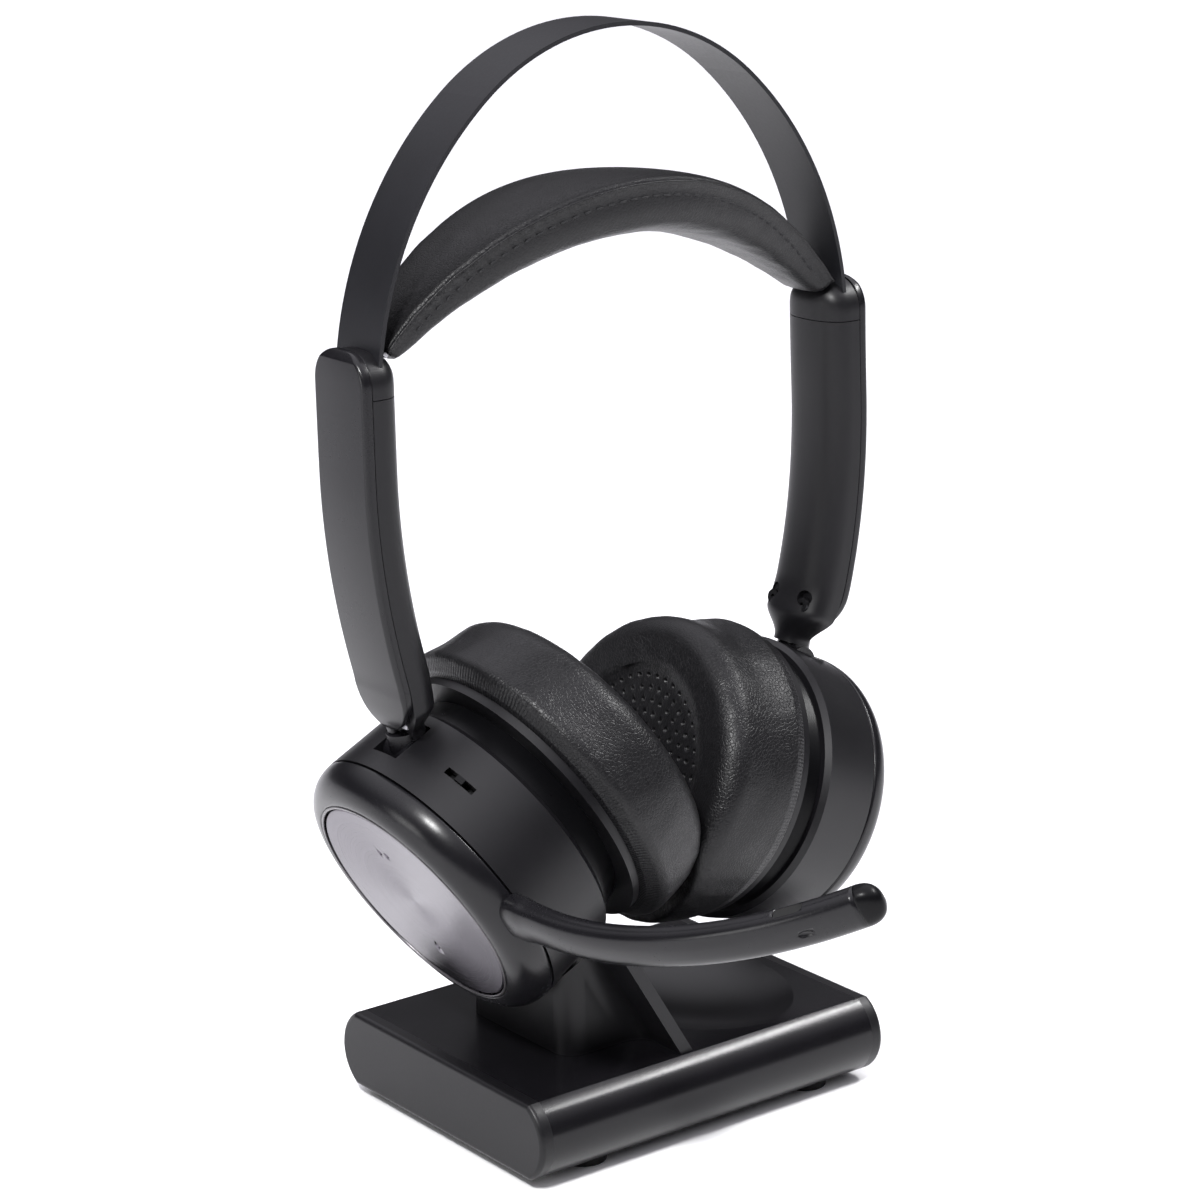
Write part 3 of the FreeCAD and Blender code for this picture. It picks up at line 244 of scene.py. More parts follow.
def smooth(value, low, high):
    """Eases from 0 at the low value to 1 at the high one."""
    share = min(max((value - low) / (high - low), 0.0), 1.0)
    return share * share * (3 - 2 * share)


def signed_power(value, power):
    """Power of a number's size that keeps its sign."""
    return math.copysign(abs(value) ** power, value)


def superellipse(half_a, half_b, power, count):
    """Points of a rounded oblong."""
    points = []
    for step in range(count):
        turn = 2 * math.pi * step / count
        points.append((half_a * signed_power(math.cos(turn), 2 / power),
                       half_b * signed_power(math.sin(turn), 2 / power)))
    return points


# ---------------------------------------------------------------- materials

class Paint:
    """Adds nodes to one procedural material. Texture scales are per metre, relief is in metres."""

    def __init__(self, name, colour, roughness, metallic=0.0):
        self.material = bpy.data.materials.new(name)
        self.material.use_nodes = True
        self.tree = self.material.node_tree
        self.shader = self.tree.nodes["Principled BSDF"]
        self.shader.inputs["Metallic"].default_value = metallic
        self.colour = colour
        self.roughness = roughness
        self.place = self.add("ShaderNodeTexCoord").outputs["Object"]
        self.bumps = None

    def add(self, kind, **settings):
        node = self.tree.nodes.new(kind)
        for key, value in settings.items():
            setattr(node, key, value)
        return node

    def link(self, start, end):
        self.tree.links.new(start, end)

    def noise(self, scale, detail=3.0, roughness=0.55, source=None):
        node = self.add("ShaderNodeTexNoise")
        node.inputs["Scale"].default_value = scale
        node.inputs["Detail"].default_value = detail
        node.inputs["Roughness"].default_value = roughness
        self.link(source or self.place, node.inputs["Vector"])
        return node.outputs["Fac"]

    def cells(self, scale, feature, source=None):
        node = self.add("ShaderNodeTexVoronoi", feature=feature)
        node.inputs["Scale"].default_value = scale
        self.link(source or self.place, node.inputs["Vector"])
        return node.outputs["Distance"]

    def axes(self):
        """The three coordinates of a point on the piece, in metres."""
        parts = self.add("ShaderNodeSeparateXYZ")
        self.link(self.place, parts.inputs[0])
        return parts.outputs

    def warped(self, scale, reach):
        """Coordinates shifted softly about, by no more than the reach."""
        shifted = self.add("ShaderNodeVectorMath", operation="MULTIPLY_ADD")
        self.link(self.noise(scale, detail=2.0, roughness=0.5), shifted.inputs[0])
        shifted.inputs[1].default_value = (reach, reach, reach)
        self.link(self.place, shifted.inputs[2])
        return shifted.outputs[0]

    def math(self, operation, first, second=None):
        node = self.add("ShaderNodeMath", operation=operation)
        for slot, value in enumerate((first, second)):
            if value is None:
                continue
            if isinstance(value, (int, float)):
                node.inputs[slot].default_value = value
            else:
                self.link(value, node.inputs[slot])
        return node.outputs[0]

    def mixed(self, first, second, share):
        """Weighted mean of two values, with the share taken from the first."""
        other = self.math("MULTIPLY", second, 1 - share)
        return self.math("ADD", self.math("MULTIPLY", first, share), other)

    def spread(self, value, low, high, start=0.3, end=0.7):
        """Moves the range from start to end onto the range from low to high."""
        node = self.add("ShaderNodeMapRange")
        node.inputs["From Min"].default_value = start
        node.inputs["From Max"].default_value = end
        node.inputs["To Min"].default_value = low
        node.inputs["To Max"].default_value = high
        self.link(value, node.inputs["Value"])
        return node.outputs["Result"]

    def bump(self, height, strength, distance):
        """Adds one more layer of relief."""
        node = self.add("ShaderNodeBump")
        node.inputs["Strength"].default_value = strength
        node.inputs["Distance"].default_value = distance
        self.link(height, node.inputs["Height"])
        if self.bumps is not None:
            self.link(self.bumps, node.inputs["Normal"])
        self.bumps = node.outputs["Normal"]

    def vary(self, value, darker, lighter):
        """Colour between two shades of the base colour, led by a value from 0 to 1."""
        ramp = self.add("ShaderNodeMixRGB")
        for slot, share in (("Color1", darker), ("Color2", lighter)):
            ramp.inputs[slot].default_value = [c * share for c in self.colour] + [1.0]
        self.link(value, ramp.inputs["Fac"])
        self.link(ramp.outputs["Color"], self.shader.inputs["Base Color"])

    def mottle(self, cloud, darker, lighter):
        """Colour between two shades of the base colour, led by a noise."""
        self.vary(self.spread(cloud, 0.0, 1.0), darker, lighter)

    def rough(self, value, amount):
        """Roughness that strays from its own value by the amount, led by a noise."""
        self.link(self.spread(value, self.roughness - amount, self.roughness + amount),
                  self.shader.inputs["Roughness"])

    def shine(self, level):
        self.shader.inputs["Specular IOR Level"].default_value = level

    def done(self):
        if self.bumps is not None:
            self.link(self.bumps, self.shader.inputs["Normal"])
        return self.material


DARK_GLOSS = 0.25


def moulded(name, colour, roughness, relief, wear=0.04, gloss=DARK_GLOSS):
    """Moulded plastic: fine spark texture, faint mottling and slightly uneven gloss."""
    paint = Paint(name, colour, roughness)
    sparks = paint.noise(scale=1400.0, detail=4.0, roughness=0.6)
    clouds = paint.noise(scale=55.0, detail=3.0, roughness=0.5)
    paint.mottle(clouds, darker=0.88, lighter=1.12)
    paint.rough(paint.mixed(sparks, clouds, share=0.6), wear)
    paint.bump(sparks, strength=relief, distance=0.0002)
    paint.shine(gloss)
    return paint.done()


def leather(name, colour, roughness, gathers=False):
    """Thin leatherette: small pebbles between creases, soft long wrinkles and pores."""
    paint = Paint(name, colour, roughness)
    shifted = paint.warped(scale=220.0, reach=0.0012)
    creases = paint.cells(scale=1150.0, feature="DISTANCE_TO_EDGE", source=shifted)
    pebbles = paint.spread(creases, low=0.0, high=1.0, start=0.0, end=0.14)
    pores = paint.noise(scale=3600.0, detail=2.0, roughness=0.6)
    folds = paint.noise(scale=90.0, detail=4.0, roughness=0.6)
    paint.vary(pebbles, darker=0.72, lighter=1.12)
    paint.rough(paint.mixed(pores, folds, share=0.5), amount=0.07)
    paint.bump(folds, strength=0.25, distance=0.0012)
    paint.bump(pebbles, strength=0.4, distance=0.0001)
    paint.bump(pores, strength=0.2, distance=0.00005)
    if gathers:
        add_gathers(paint, pleats_per_radian=260.0, unevenness=5.0)
    paint.shine(DARK_GLOSS)
    return paint.done()


def add_gathers(paint, pleats_per_radian, unevenness):
    """Small pleats where the leatherette is drawn in round the base of an ear pad."""
    x, y, z = paint.axes()
    turn = paint.math("ARCTAN2", y, x)
    stray = paint.math("MULTIPLY", paint.noise(scale=160.0, detail=2.0, roughness=0.5), unevenness)
    pleats = paint.math("SINE", paint.math("ADD", paint.math("MULTIPLY", turn, pleats_per_radian), stray))
    near_base = paint.spread(z, low=0.0, high=1.0, start=-0.0030, end=-0.0014)
    paint.bump(paint.math("MULTIPLY", pleats, near_base), strength=0.35, distance=0.00012)


def spun_metal(name, colour, roughness):
    """Turned disc: fine concentric marks that spread the light into a fan."""
    paint = Paint(name, colour, roughness, metallic=1.0)
    x, y, _ = paint.axes()
    squares = paint.math("ADD", paint.math("MULTIPLY", x, x), paint.math("MULTIPLY", y, y))
    rings = paint.add("ShaderNodeCombineXYZ")
    paint.link(paint.math("SQRT", squares), rings.inputs[0])
    marks = paint.noise(scale=9000.0, detail=2.0, roughness=0.5, source=rings.outputs[0])
    bands = paint.noise(scale=700.0, detail=2.0, roughness=0.5, source=rings.outputs[0])
    paint.mottle(bands, darker=0.9, lighter=1.1)
    paint.rough(marks, amount=0.05)
    paint.bump(marks, strength=0.45, distance=0.00002)
    tangent = paint.add("ShaderNodeTangent", direction_type="RADIAL", axis="Z")
    paint.link(tangent.outputs[0], paint.shader.inputs["Tangent"])
    paint.shader.inputs["Anisotropic"].default_value = 0.92
    return paint.done()


def metal(name, colour, roughness):
    """Plain metal with faint brushing and uneven gloss."""
    paint = Paint(name, colour, roughness, metallic=1.0)
    brushing = paint.noise(scale=800.0, detail=3.0, roughness=0.6)
    clouds = paint.noise(scale=120.0, detail=2.0, roughness=0.5)
    paint.mottle(clouds, darker=0.85, lighter=1.1)
    paint.rough(brushing, amount=0.06)
    paint.bump(brushing, strength=0.05, distance=0.00005)
    return paint.done()


def board_green(name):
    """Circuit board: solder mask with a pattern of small pads."""
    paint = Paint(name, colour=(0.02, 0.11, 0.05), roughness=0.4)
    pads = paint.cells(scale=420.0, feature="F1")
    paint.vary(paint.spread(pads, low=1.0, high=0.0, start=0.12, end=0.3), darker=0.7, lighter=1.8)
    paint.bump(pads, strength=0.2, distance=0.0001)
    return paint.done()


MATERIALS = {
    "matte_black": moulded("matte black", (0.0046, 0.0044, 0.0053), 0.38, relief=0.04),
    "satin_black": moulded("satin black", (0.0050, 0.0048, 0.0058), 0.25, relief=0.02),
    "gloss_black": moulded("gloss black", (0.003, 0.003, 0.0035), 0.3, relief=0.01, wear=0.03, gloss=0.1),
    "leatherette": leather("leatherette", (0.0045, 0.0044, 0.0050), 0.42),
    "spun_metal": spun_metal("spun metal", (0.118, 0.110, 0.126), 0.24),
    "bezel_metal": metal("bezel metal", (0.10, 0.095, 0.10), 0.3),
    "band_steel": moulded("band coating", (0.0075, 0.0075, 0.009), 0.42, relief=0.05),
    "black_screw": metal("blackened screw", (0.03, 0.03, 0.032), 0.4),
    "steel": metal("plain steel", (0.42, 0.42, 0.44), 0.35),
    "gold": metal("plated contact", (0.8, 0.6, 0.28), 0.25),
    "board": board_green("circuit board"),
    "battery_wrap": moulded("battery wrap", (0.05, 0.07, 0.1), 0.35, relief=0.03),
    "rubber_black": moulded("foot rubber", (0.008, 0.008, 0.008), 0.8, relief=0.3),
}
STAND_SHELL = moulded("stand shell", (0.0046, 0.0044, 0.0053), 0.21, relief=0.012)
PAD_LEATHER = leather("pad leatherette", (0.0042, 0.0041, 0.0047), 0.38, gathers=True)
THREAD = moulded("thread", (0.010, 0.010, 0.011), 0.6, relief=0.3)


def cad_material(node_name):
    """Material of a CAD node's slot, except on the switch keys and the stand's satin shells."""
    if node_name.endswith("_switch"):
        return MATERIALS["gloss_black"]
    if node_name.startswith("base_") and SLOT_OF[node_name] == "satin_black":
        return STAND_SHELL
    return MATERIALS[SLOT_OF[node_name]]


def dress(piece, slot, material=None):
    """Gives a new piece its material: the one given, or else the one of the named slot."""
    piece.data.materials.clear()
    piece.data.materials.append(material or MATERIALS[slot])


for node_name, node in frame["nodes"].items():
    node.data.materials.clear()
    node.data.materials.append(cad_material(node_name))


# ---------------------------------------------------------------- ear pads

# A pad's depth is from its base to its crest. Its skirt is how far its base stands out, and its sag
# is how far its front hangs down.
Pad = namedtuple("Pad", "radius depth edge sag skirt")
PADS = {
    LEFT: Pad(radius=38.7, depth=21.6, edge=12.0, sag=1.2, skirt=1.8),
    RIGHT: Pad(radius=36.8, depth=22.2, edge=10.8, sag=2.2, skirt=0.0),
}
PAD_SINK = 2.8
# share of the sink at the outer ring of holes
PAD_DISH = 0.62
PAD_DISH_BLEND = 14.0
PAD_CREST = 25.0
PAD_CREST_BLEND = 5.0
PAD_TAPER = 0.6
PAD_ROLL = 2.8
PAD_FOOT = 35.9
PAD_FOOT_STEP = 0.3
PAD_FOOT_LIFT = 0.35
PAD_FOOT_EDGE = 1.0
PAD_SEGMENTS = 200
SAG_DEPTH = 12.0
# The sides swell by a broad noise and ripple by a fine one, from a radius outwards and between two
# depths. Scales are per millimetre, and ripples per radian round the pad.
UNEVEN_FROM = 24.0
UNEVEN_DEPTHS = (0.3, 4.0)
SWELL = 0.35
SWELL_SCALE = 0.055
SWELL_OFFSET = 9
RIPPLE = 0.16
RIPPLE_SCALE = 0.12
RIPPLES = 9
HOLED_RADIUS = 21.4
HOLE_RADIUS = 0.6
HOLE_RINGS = 7
HOLE_RING_STEP = 2.95
HOLE_PITCH = 3.2
HOLE_DEPTH = 2.2
# The pads give way softly over this length, from a few lengths before the plane between them.
PRESS_SOFT = 0.5
PRESS_LENGTHS = 8
PRESS_GAP = 0.15
LARGEST_EXPONENT = 50.0


def pad_corner(side):
    """Centre of a pad's rounded edge at its lowest point."""
    pad = PADS[side]
    up = pad.edge - pad.radius - pad.sag
    out = pad.edge - pad.depth
    return cup_frame(side) @ Vector((up * MM, 0, out * MM))


def press_flat(piece, side):
    """Softly flattens a pad against the plane where the two pads rest on each other."""
    left_up = cup_frame(LEFT).to_3x3() @ X_AXIS
    right_up = cup_frame(RIGHT).to_3x3() @ X_AXIS
    across = Y_AXIS.cross(-(left_up + right_up).normalized())
    if across.x * side > 0:
        across = -across
    middle = (pad_corner(LEFT) + pad_corner(RIGHT)) / 2 - across * PRESS_GAP * MM
    to_cup = piece.matrix_world.inverted()
    soft = PRESS_SOFT * MM
    for vertex in piece.data.vertices:
        world = piece.matrix_world @ vertex.co
        beyond = (world - middle).dot(across)
        if beyond < -PRESS_LENGTHS * soft:
            continue
        kept = -soft * math.log1p(math.exp(min(-beyond / soft, LARGEST_EXPONENT)))
        vertex.co = to_cup @ (world + across * (kept - beyond))


def pad_path(pad):
    """Section of a pad, from the middle of its sunk front to the middle of its base."""
    front = -pad.depth
    return rounded([(0, front + PAD_SINK, 0),
                    (HOLED_RADIUS, front + PAD_SINK * PAD_DISH, PAD_DISH_BLEND),
                    (PAD_CREST, front, PAD_CREST_BLEND),
                    (pad.radius - PAD_TAPER, front, pad.edge),
                    (pad.radius + pad.skirt, -PAD_ROLL, PAD_ROLL),
                    (PAD_FOOT + PAD_FOOT_STEP + pad.skirt / 2, -PAD_FOOT_LIFT, PAD_FOOT_EDGE),
                    (PAD_FOOT, 0, 0),
                    (0, 0, 0)], steps=10, longest=1.2)


def soften(piece, side):
    """Lets a pad's front sag and makes its sides uneven, fading out towards its base."""
    for vertex in piece.data.vertices:
        point = vertex.co / MM
        vertex.co.x -= PADS[side].sag * smooth(-point.z, 0.0, SAG_DEPTH) * MM
        flat = Vector((point.x, point.y, 0))
        if flat.length < UNEVEN_FROM:
            continue
        swell = noise.noise(point * SWELL_SCALE + X_AXIS * side * SWELL_OFFSET) * SWELL
        turn = math.atan2(point.y, point.x)
        ripple = noise.noise(Vector((turn * RIPPLES, point.z * RIPPLE_SCALE, side))) * RIPPLE
        vertex.co += flat.normalized() * (swell + ripple) * smooth(-point.z, *UNEVEN_DEPTHS) * MM


def pad_holes():
    """(radius, angle) of each small hole in a pad's middle, in rings that are offset by half a pitch."""
    holes = []
    for number in range(HOLE_RINGS):
        ring_radius = HOLED_RADIUS - HOLE_RING_STEP * number
        count = round(2 * math.pi * ring_radius / HOLE_PITCH)
        offset = 0.5 * (number % 2)
        holes += [(ring_radius, 2 * math.pi * (step + offset) / count) for step in range(count)]
    return holes


def hole_cutters(place, holes, radius, low, high):
    """Small prisms along the cup's axis at (radius, angle) places."""
    cutters = []
    for ring_radius, angle in holes:
        shift = Vector((ring_radius * math.cos(angle), ring_radius * math.sin(angle), 0))
        at = place @ Matrix.Translation(shift * MM)
        cutters.append(cylinder("cutter", radius, low, high, at, segments=10))
    return cutters


def make_ear_pad(side):
    """On-ear cushion: sunk perforated middle, full rounded shoulder, drawn in at its base."""
    place = cup_frame(side)
    front = -PADS[side].depth
    pad = lathe(side_name(side) + "_cushion", pad_path(PADS[side]), place, PAD_SEGMENTS, closed=False)
    soften(pad, side)
    press_flat(pad, side)
    sunk = place @ Matrix.Translation(X_AXIS * -PADS[side].sag * MM)
    deepest = front + PAD_SINK + HOLE_DEPTH
    bored(pad, hole_cutters(sunk, pad_holes(), HOLE_RADIUS, front - CUT_ROOM, deepest))
    dress(pad, "leatherette", PAD_LEATHER)
    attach(pad, side_name(side) + "_cup")
    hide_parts(side_name(side) + "_ear_pad")


for cup_side in SIDES:
    make_ear_pad(cup_side)


# ---------------------------------------------------------------- cup faces

# A cup's barrel is its radius. Its seam, face and foot are heights along its axis: where the turning
# ring starts, where the ring ends, and how deep the disc's pocket goes.
Cup = namedtuple("Cup", "barrel seam face foot")
CUPS = {
    LEFT: Cup(barrel=35.9, seam=29.5, face=37.6, foot=34.2),
    RIGHT: Cup(barrel=33.2, seam=26.9, face=32.8, foot=29.8),
}
FACE_SEGMENTS = 220
RING_BORE = 27.0
RING_BORE_EDGE = (0.4, 0.5)
RING_EDGE = 0.35
SHOULDER_POWER = 0.95
SHOULDER_STEPS = 24
LIP_RADIUS = 28.4
LIP_BORDER = 0.9
LIP_DEPTH = 0.9
LIP_SLOPE = 0.3
BEZEL_INSET = 0.1
BEZEL_WIDTH = 0.75
BEZEL_SUNK = 0.8
BEZEL_PROUD = 0.15
BEZEL_EDGE = 0.22
FOOT_EDGE = 0.1
DISC_RADIUS = 28.05
DISC_BEVEL = 0.3
DISC_DISH = 0.5
DISC_RIM = 0.12
DISC_EDGE = 0.35
DISC_CORNER = 0.2
DISC_THICK = 1.6
DISC_STEM = 8.0
DISC_STEM_GAP = 0.4
DISC_HOLE_RADIUS = 0.85
DISC_HOLE_DEPTH = 1.5
# distance from the axis, and angle from straight up
DISC_HOLES = ((15.7, -5), (15.7, 5), (15.8, 171))


def ring_shoulder(cup):
    """Rounded outside of a turning ring, from its side over to the bezel's border."""
    inner = LIP_RADIUS + LIP_BORDER
    low = cup.seam + RING_EDGE
    points = []
    for step in range(SHOULDER_STEPS + 1):
        turn = math.pi / 2 * step / SHOULDER_STEPS
        points.append(Vector((inner + (cup.barrel - inner) * math.cos(turn) ** SHOULDER_POWER,
                              low + (cup.face - low) * math.sin(turn) ** SHOULDER_POWER)))
    return points


def make_turning_ring(side):
    cup = CUPS[side]
    edge_width, edge_height = RING_BORE_EDGE
    path = [Vector((RING_BORE, cup.seam + edge_height)), Vector((RING_BORE + edge_width, cup.seam)),
            Vector((cup.barrel - RING_EDGE, cup.seam))]
    path += ring_shoulder(cup)
    path += [Vector((LIP_RADIUS + BEZEL_WIDTH, cup.face - LIP_DEPTH + LIP_SLOPE)),
             Vector((LIP_RADIUS, cup.face - LIP_DEPTH)), Vector((LIP_RADIUS, cup.foot)),
             Vector((RING_BORE, cup.foot))]
    ring = lathe(side_name(side) + "_turning_ring", path, cup_frame(side), FACE_SEGMENTS)
    dress(ring, "satin_black")
    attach(ring, "boom" if side < 0 else "right_cup")
    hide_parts("boom_ring" if side < 0 else "right_ring")


def make_bezel(side):
    name = side_name(side)
    inner, outer = LIP_RADIUS - BEZEL_INSET, LIP_RADIUS + BEZEL_WIDTH
    low, high = CUPS[side].face - BEZEL_SUNK, CUPS[side].face + BEZEL_PROUD
    path = rounded([(inner, low, 0), (outer, low, FOOT_EDGE), (outer, high, BEZEL_EDGE),
                    (LIP_RADIUS + BEZEL_INSET, high, BEZEL_EDGE), (inner, low, 0)], steps=4)[:-1]
    bezel = lathe(name + "_bright_bezel", path, cup_frame(side), FACE_SEGMENTS)
    dress(bezel, "bezel_metal")
    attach(bezel, "boom" if side < 0 else "right_cup")
    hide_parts(name + "_bezel")


def make_disc(side):
    """Slightly dished spun disc on a stem, with three small holes."""
    name = side_name(side)
    place = cup_frame(side)
    face = CUPS[side].face
    stem_end = CUPS[side].foot + DISC_STEM_GAP
    path = rounded([(0, face - DISC_DISH, 0),
                    (DISC_RADIUS - DISC_BEVEL, face - DISC_RIM, FOOT_EDGE),
                    (DISC_RADIUS, face - DISC_EDGE, DISC_CORNER),
                    (DISC_RADIUS, face - DISC_THICK, FOOT_EDGE),
                    (DISC_STEM, face - DISC_THICK, 0),
                    (DISC_STEM, stem_end, 0),
                    (0, stem_end, 0)], longest=2.5)
    disc = lathe(name + "_spun_disc", path, place, FACE_SEGMENTS, closed=False)
    holes = [(distance, math.radians(angle)) for distance, angle in DISC_HOLES]
    bored(disc, hole_cutters(place, holes, DISC_HOLE_RADIUS, face - DISC_HOLE_DEPTH, face + CUT_ROOM))
    dress(disc, "spun_metal")
    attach(disc, name + "_disc")
    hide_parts(name + "_outer_disc")


for cup_side in SIDES:
    make_turning_ring(cup_side)
    make_bezel(cup_side)
    make_disc(cup_side)


# ---------------------------------------------------------------- boom

# The boom leaves the left cup's ring forwards and then bends inwards, in a plane through the cup's
# axis that is turned up by its lift.
BOOM_LIFT = 5.2
BOOM_OUT = 30.9
BOOM_STRAIGHT = 49.0
BOOM_BEND = 105.0
BOOM_SWEEP = 45.0
BOOM_HEIGHT = 9.4
BOOM_THICK = 6.6
BOOM_POWER = 2.5
BOOM_POINTS = 40
BOOM_STEPS = 90
BOOM_START = LIP_RADIUS + 2.0
BOOM_END = BOOM_STRAIGHT + BOOM_BEND * math.radians(BOOM_SWEEP)
ROOT_AT = 40.5
ROOT_BLEND = 0.8
FLARE_LENGTH = 9.0
# shares of the boom's own height and thickness
ROOT_TALL = 0.10
ROOT_THICK = 0.06
TIP_REACH = 5.0
TIP_POWER = 2.4
TIP_STEPS = 16
# share of the tip's reach at its last ring, which stays just open
TIP_LAST = 0.9995
MIC_SLOT_AT = BOOM_STRAIGHT + BOOM_BEND * math.radians(BOOM_SWEEP * 0.82)
MIC_SLOT_DEPTH = 1.4
MIC_SLOT_OVAL = superellipse(half_a=3.6, half_b=1.35, power=4.0, count=32)
DIMPLE_AT = BOOM_END - 12.0
DIMPLE_DEPTH = 0.25
DIMPLE_OVAL = superellipse(half_a=1.9, half_b=0.9, power=2.0, count=28)


def boom_line(distance):
    """Point and direction of the boom's middle line, a distance out from the ring's axis."""
    if distance <= BOOM_STRAIGHT:
        return Vector((0, -distance, BOOM_OUT)), -Y_AXIS
    turn = (distance - BOOM_STRAIGHT) / BOOM_BEND
    forwards = BOOM_STRAIGHT + BOOM_BEND * math.sin(turn)
    outwards = BOOM_OUT - BOOM_BEND * (1 - math.cos(turn))
    return Vector((0, -forwards, outwards)), Vector((0, -math.cos(turn), -math.sin(turn)))


def boom_place():
    return cup_frame(LEFT) @ Matrix.Rotation(math.radians(BOOM_LIFT), 4, "Z")


def sweep_boom(name, stations, swell):
    """Boom surface through the stations: swell(distance) scales its section's height and thickness."""
    centres, frames = [], []
    for distance in stations:
        point, along = boom_line(distance)
        centres.append(point)
        frames.append((X_AXIS, along.cross(X_AXIS)))

    def section(index):
        tall, thick = swell(stations[index])
        return superellipse(BOOM_HEIGHT / 2 * tall, BOOM_THICK / 2 * thick, BOOM_POWER, BOOM_POINTS)
    return tube(name, centres, frames, section, boom_place())


def arm_swell(distance):
    """Thicker section inside the ring, which flares out of it and settles along the boom."""
    root = 1 / (1 + math.exp((distance - ROOT_AT) / ROOT_BLEND))
    flare = math.exp(-max(distance - ROOT_AT, 0.0) / FLARE_LENGTH)
    return 1 + ROOT_TALL * (root + flare), 1 + ROOT_THICK * (root + flare)


def tip_swell(distance):
    """Section that closes in to a blunt end."""
    share = min((distance - BOOM_END) / TIP_REACH, TIP_LAST)
    size = (1 - share ** TIP_POWER) ** (1 / TIP_POWER)
    return size, size


def boom_cutter(distance, outwards, surface, depth, oval):
    """Oval prism that cuts to a depth under a surface at a height over the boom's middle line."""
    point, along = boom_line(distance)
    turn = Matrix((along, outwards.cross(along), outwards)).transposed().to_4x4()
    place = boom_place() @ Matrix.Translation(point * MM) @ turn
    ends = [Z_AXIS * (surface - depth), Z_AXIS * (surface + CUT_ROOM)]
    return tube("cutter", ends, [(X_AXIS, Y_AXIS)] * 2, lambda index: oval, place)


def boom_cutters():
    """Microphone slot in the boom's upper edge, and a shallow dimple in its outer side."""
    out_of_side = boom_line(DIMPLE_AT)[1].cross(X_AXIS)
    return [boom_cutter(MIC_SLOT_AT, X_AXIS, BOOM_HEIGHT / 2, MIC_SLOT_DEPTH, MIC_SLOT_OVAL),
            boom_cutter(DIMPLE_AT, out_of_side, BOOM_THICK / 2, DIMPLE_DEPTH, DIMPLE_OVAL)]


def make_boom():
    length = BOOM_END - BOOM_START
    stations = [BOOM_START + length * step / BOOM_STEPS for step in range(BOOM_STEPS + 1)]
    arm = sweep_boom("boom_bar", stations, arm_swell)
    bored(arm, boom_cutters())
    dress(arm, "satin_black")
    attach(arm, "boom")
    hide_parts("boom_arm")
    tip_stations = [BOOM_END + TIP_REACH * math.sin(math.pi / 2 * step / TIP_STEPS)
                    for step in range(TIP_STEPS + 1)]
    tip = sweep_boom("boom_glossy_tip", tip_stations, tip_swell)
    dress(tip, "gloss_black")
    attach(tip, "boom")
    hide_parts("boom_tip")


make_boom()


# ---------------------------------------------------------------- padded band

# The band's section grows from its ends to its crown: (size at the ends, gain at the crown, power).
BAND_HALF = (7.0, 11.2, 1.5)
BAND_RISE = (0.7, 1.7, 1.0)
BAND_DEPTH = (4.0, 7.6, 0.6)
BAND_ARCH = 83.0
BAND_SWEEP = 50.0
BAND_ROLL = 4.5
BAND_STEPS = 140
BAND_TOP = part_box("inner_band_strip")[1].z / MM + 1.0
BAND_TAUT_FROM = 212.0
COVER_STEPS = 16
COVER_POWER = 0.8
CUSHION_STEPS = 32
CUSHION_POWER = 0.62
CUSHION_SIDE_POWER = 0.55
# share of the half width that the cushion bulges past it
CUSHION_BULGE = 0.05
SEAM_DROP = 0.35
WELT = 0.75
WELT_DROP = 0.15
WELT_STEPS = 6
# Height of each kind of wrinkle, and its noise's scales along X, Y and Z, per millimetre.
WRINKLE = 0.22
WRINKLE_SCALE = (0.05, 0.4, 0.3)
FINE_WRINKLE = 0.08
FINE_SCALE = (0.35, 0.8, 0.8)
STITCH_DEPTH = 2.8
STITCH_PITCH = 3.1
STITCH_LENGTH = STITCH_PITCH * 0.8
STITCH_SIDES = 8
# share of the band's sweep that is stitched
STITCHED = 0.9
# how low on the cushion's side a stitch may lie, as a share of the cushion's depth
STITCH_LOWEST = 0.55
# (place along a stitch as a share of its length, radius there)
STITCH_RINGS = ((-0.38, 0.12), (-0.3, 0.24), (0.0, 0.28), (0.3, 0.24), (0.38, 0.12))


def band_frame(angle):
    """Centre, sideways and outward directions of the padded band at an angle from its crown."""
    outwards = Vector((math.sin(angle), 0, math.cos(angle)))
    roll = math.radians(BAND_ROLL) * math.cos(math.pi / 2 * angle / math.radians(BAND_SWEEP))
    across = Y_AXIS * math.cos(roll) - outwards * math.sin(roll)
    over = outwards * math.cos(roll) + Y_AXIS * math.sin(roll)
    return Z_AXIS * (BAND_TOP - BAND_ARCH) + outwards * BAND_ARCH, across, over


def band_size(sizes, share):
    """Size of the band's section at a share of the sweep from the crown."""
    ends, gain, power = sizes
    return ends + gain * math.cos(math.pi / 2 * min(abs(share), 1.0)) ** power


def cushion_side(half, under, turn):
    """Point of the puffy lower cushion's section, from 0 at one seam to half a turn at the other."""
    bulged = half * (1.0 + CUSHION_BULGE * math.sin(turn) ** 2)
    across = bulged * signed_power(math.cos(turn), CUSHION_SIDE_POWER)
    return across, -SEAM_DROP - under * math.sin(turn) ** CUSHION_POWER


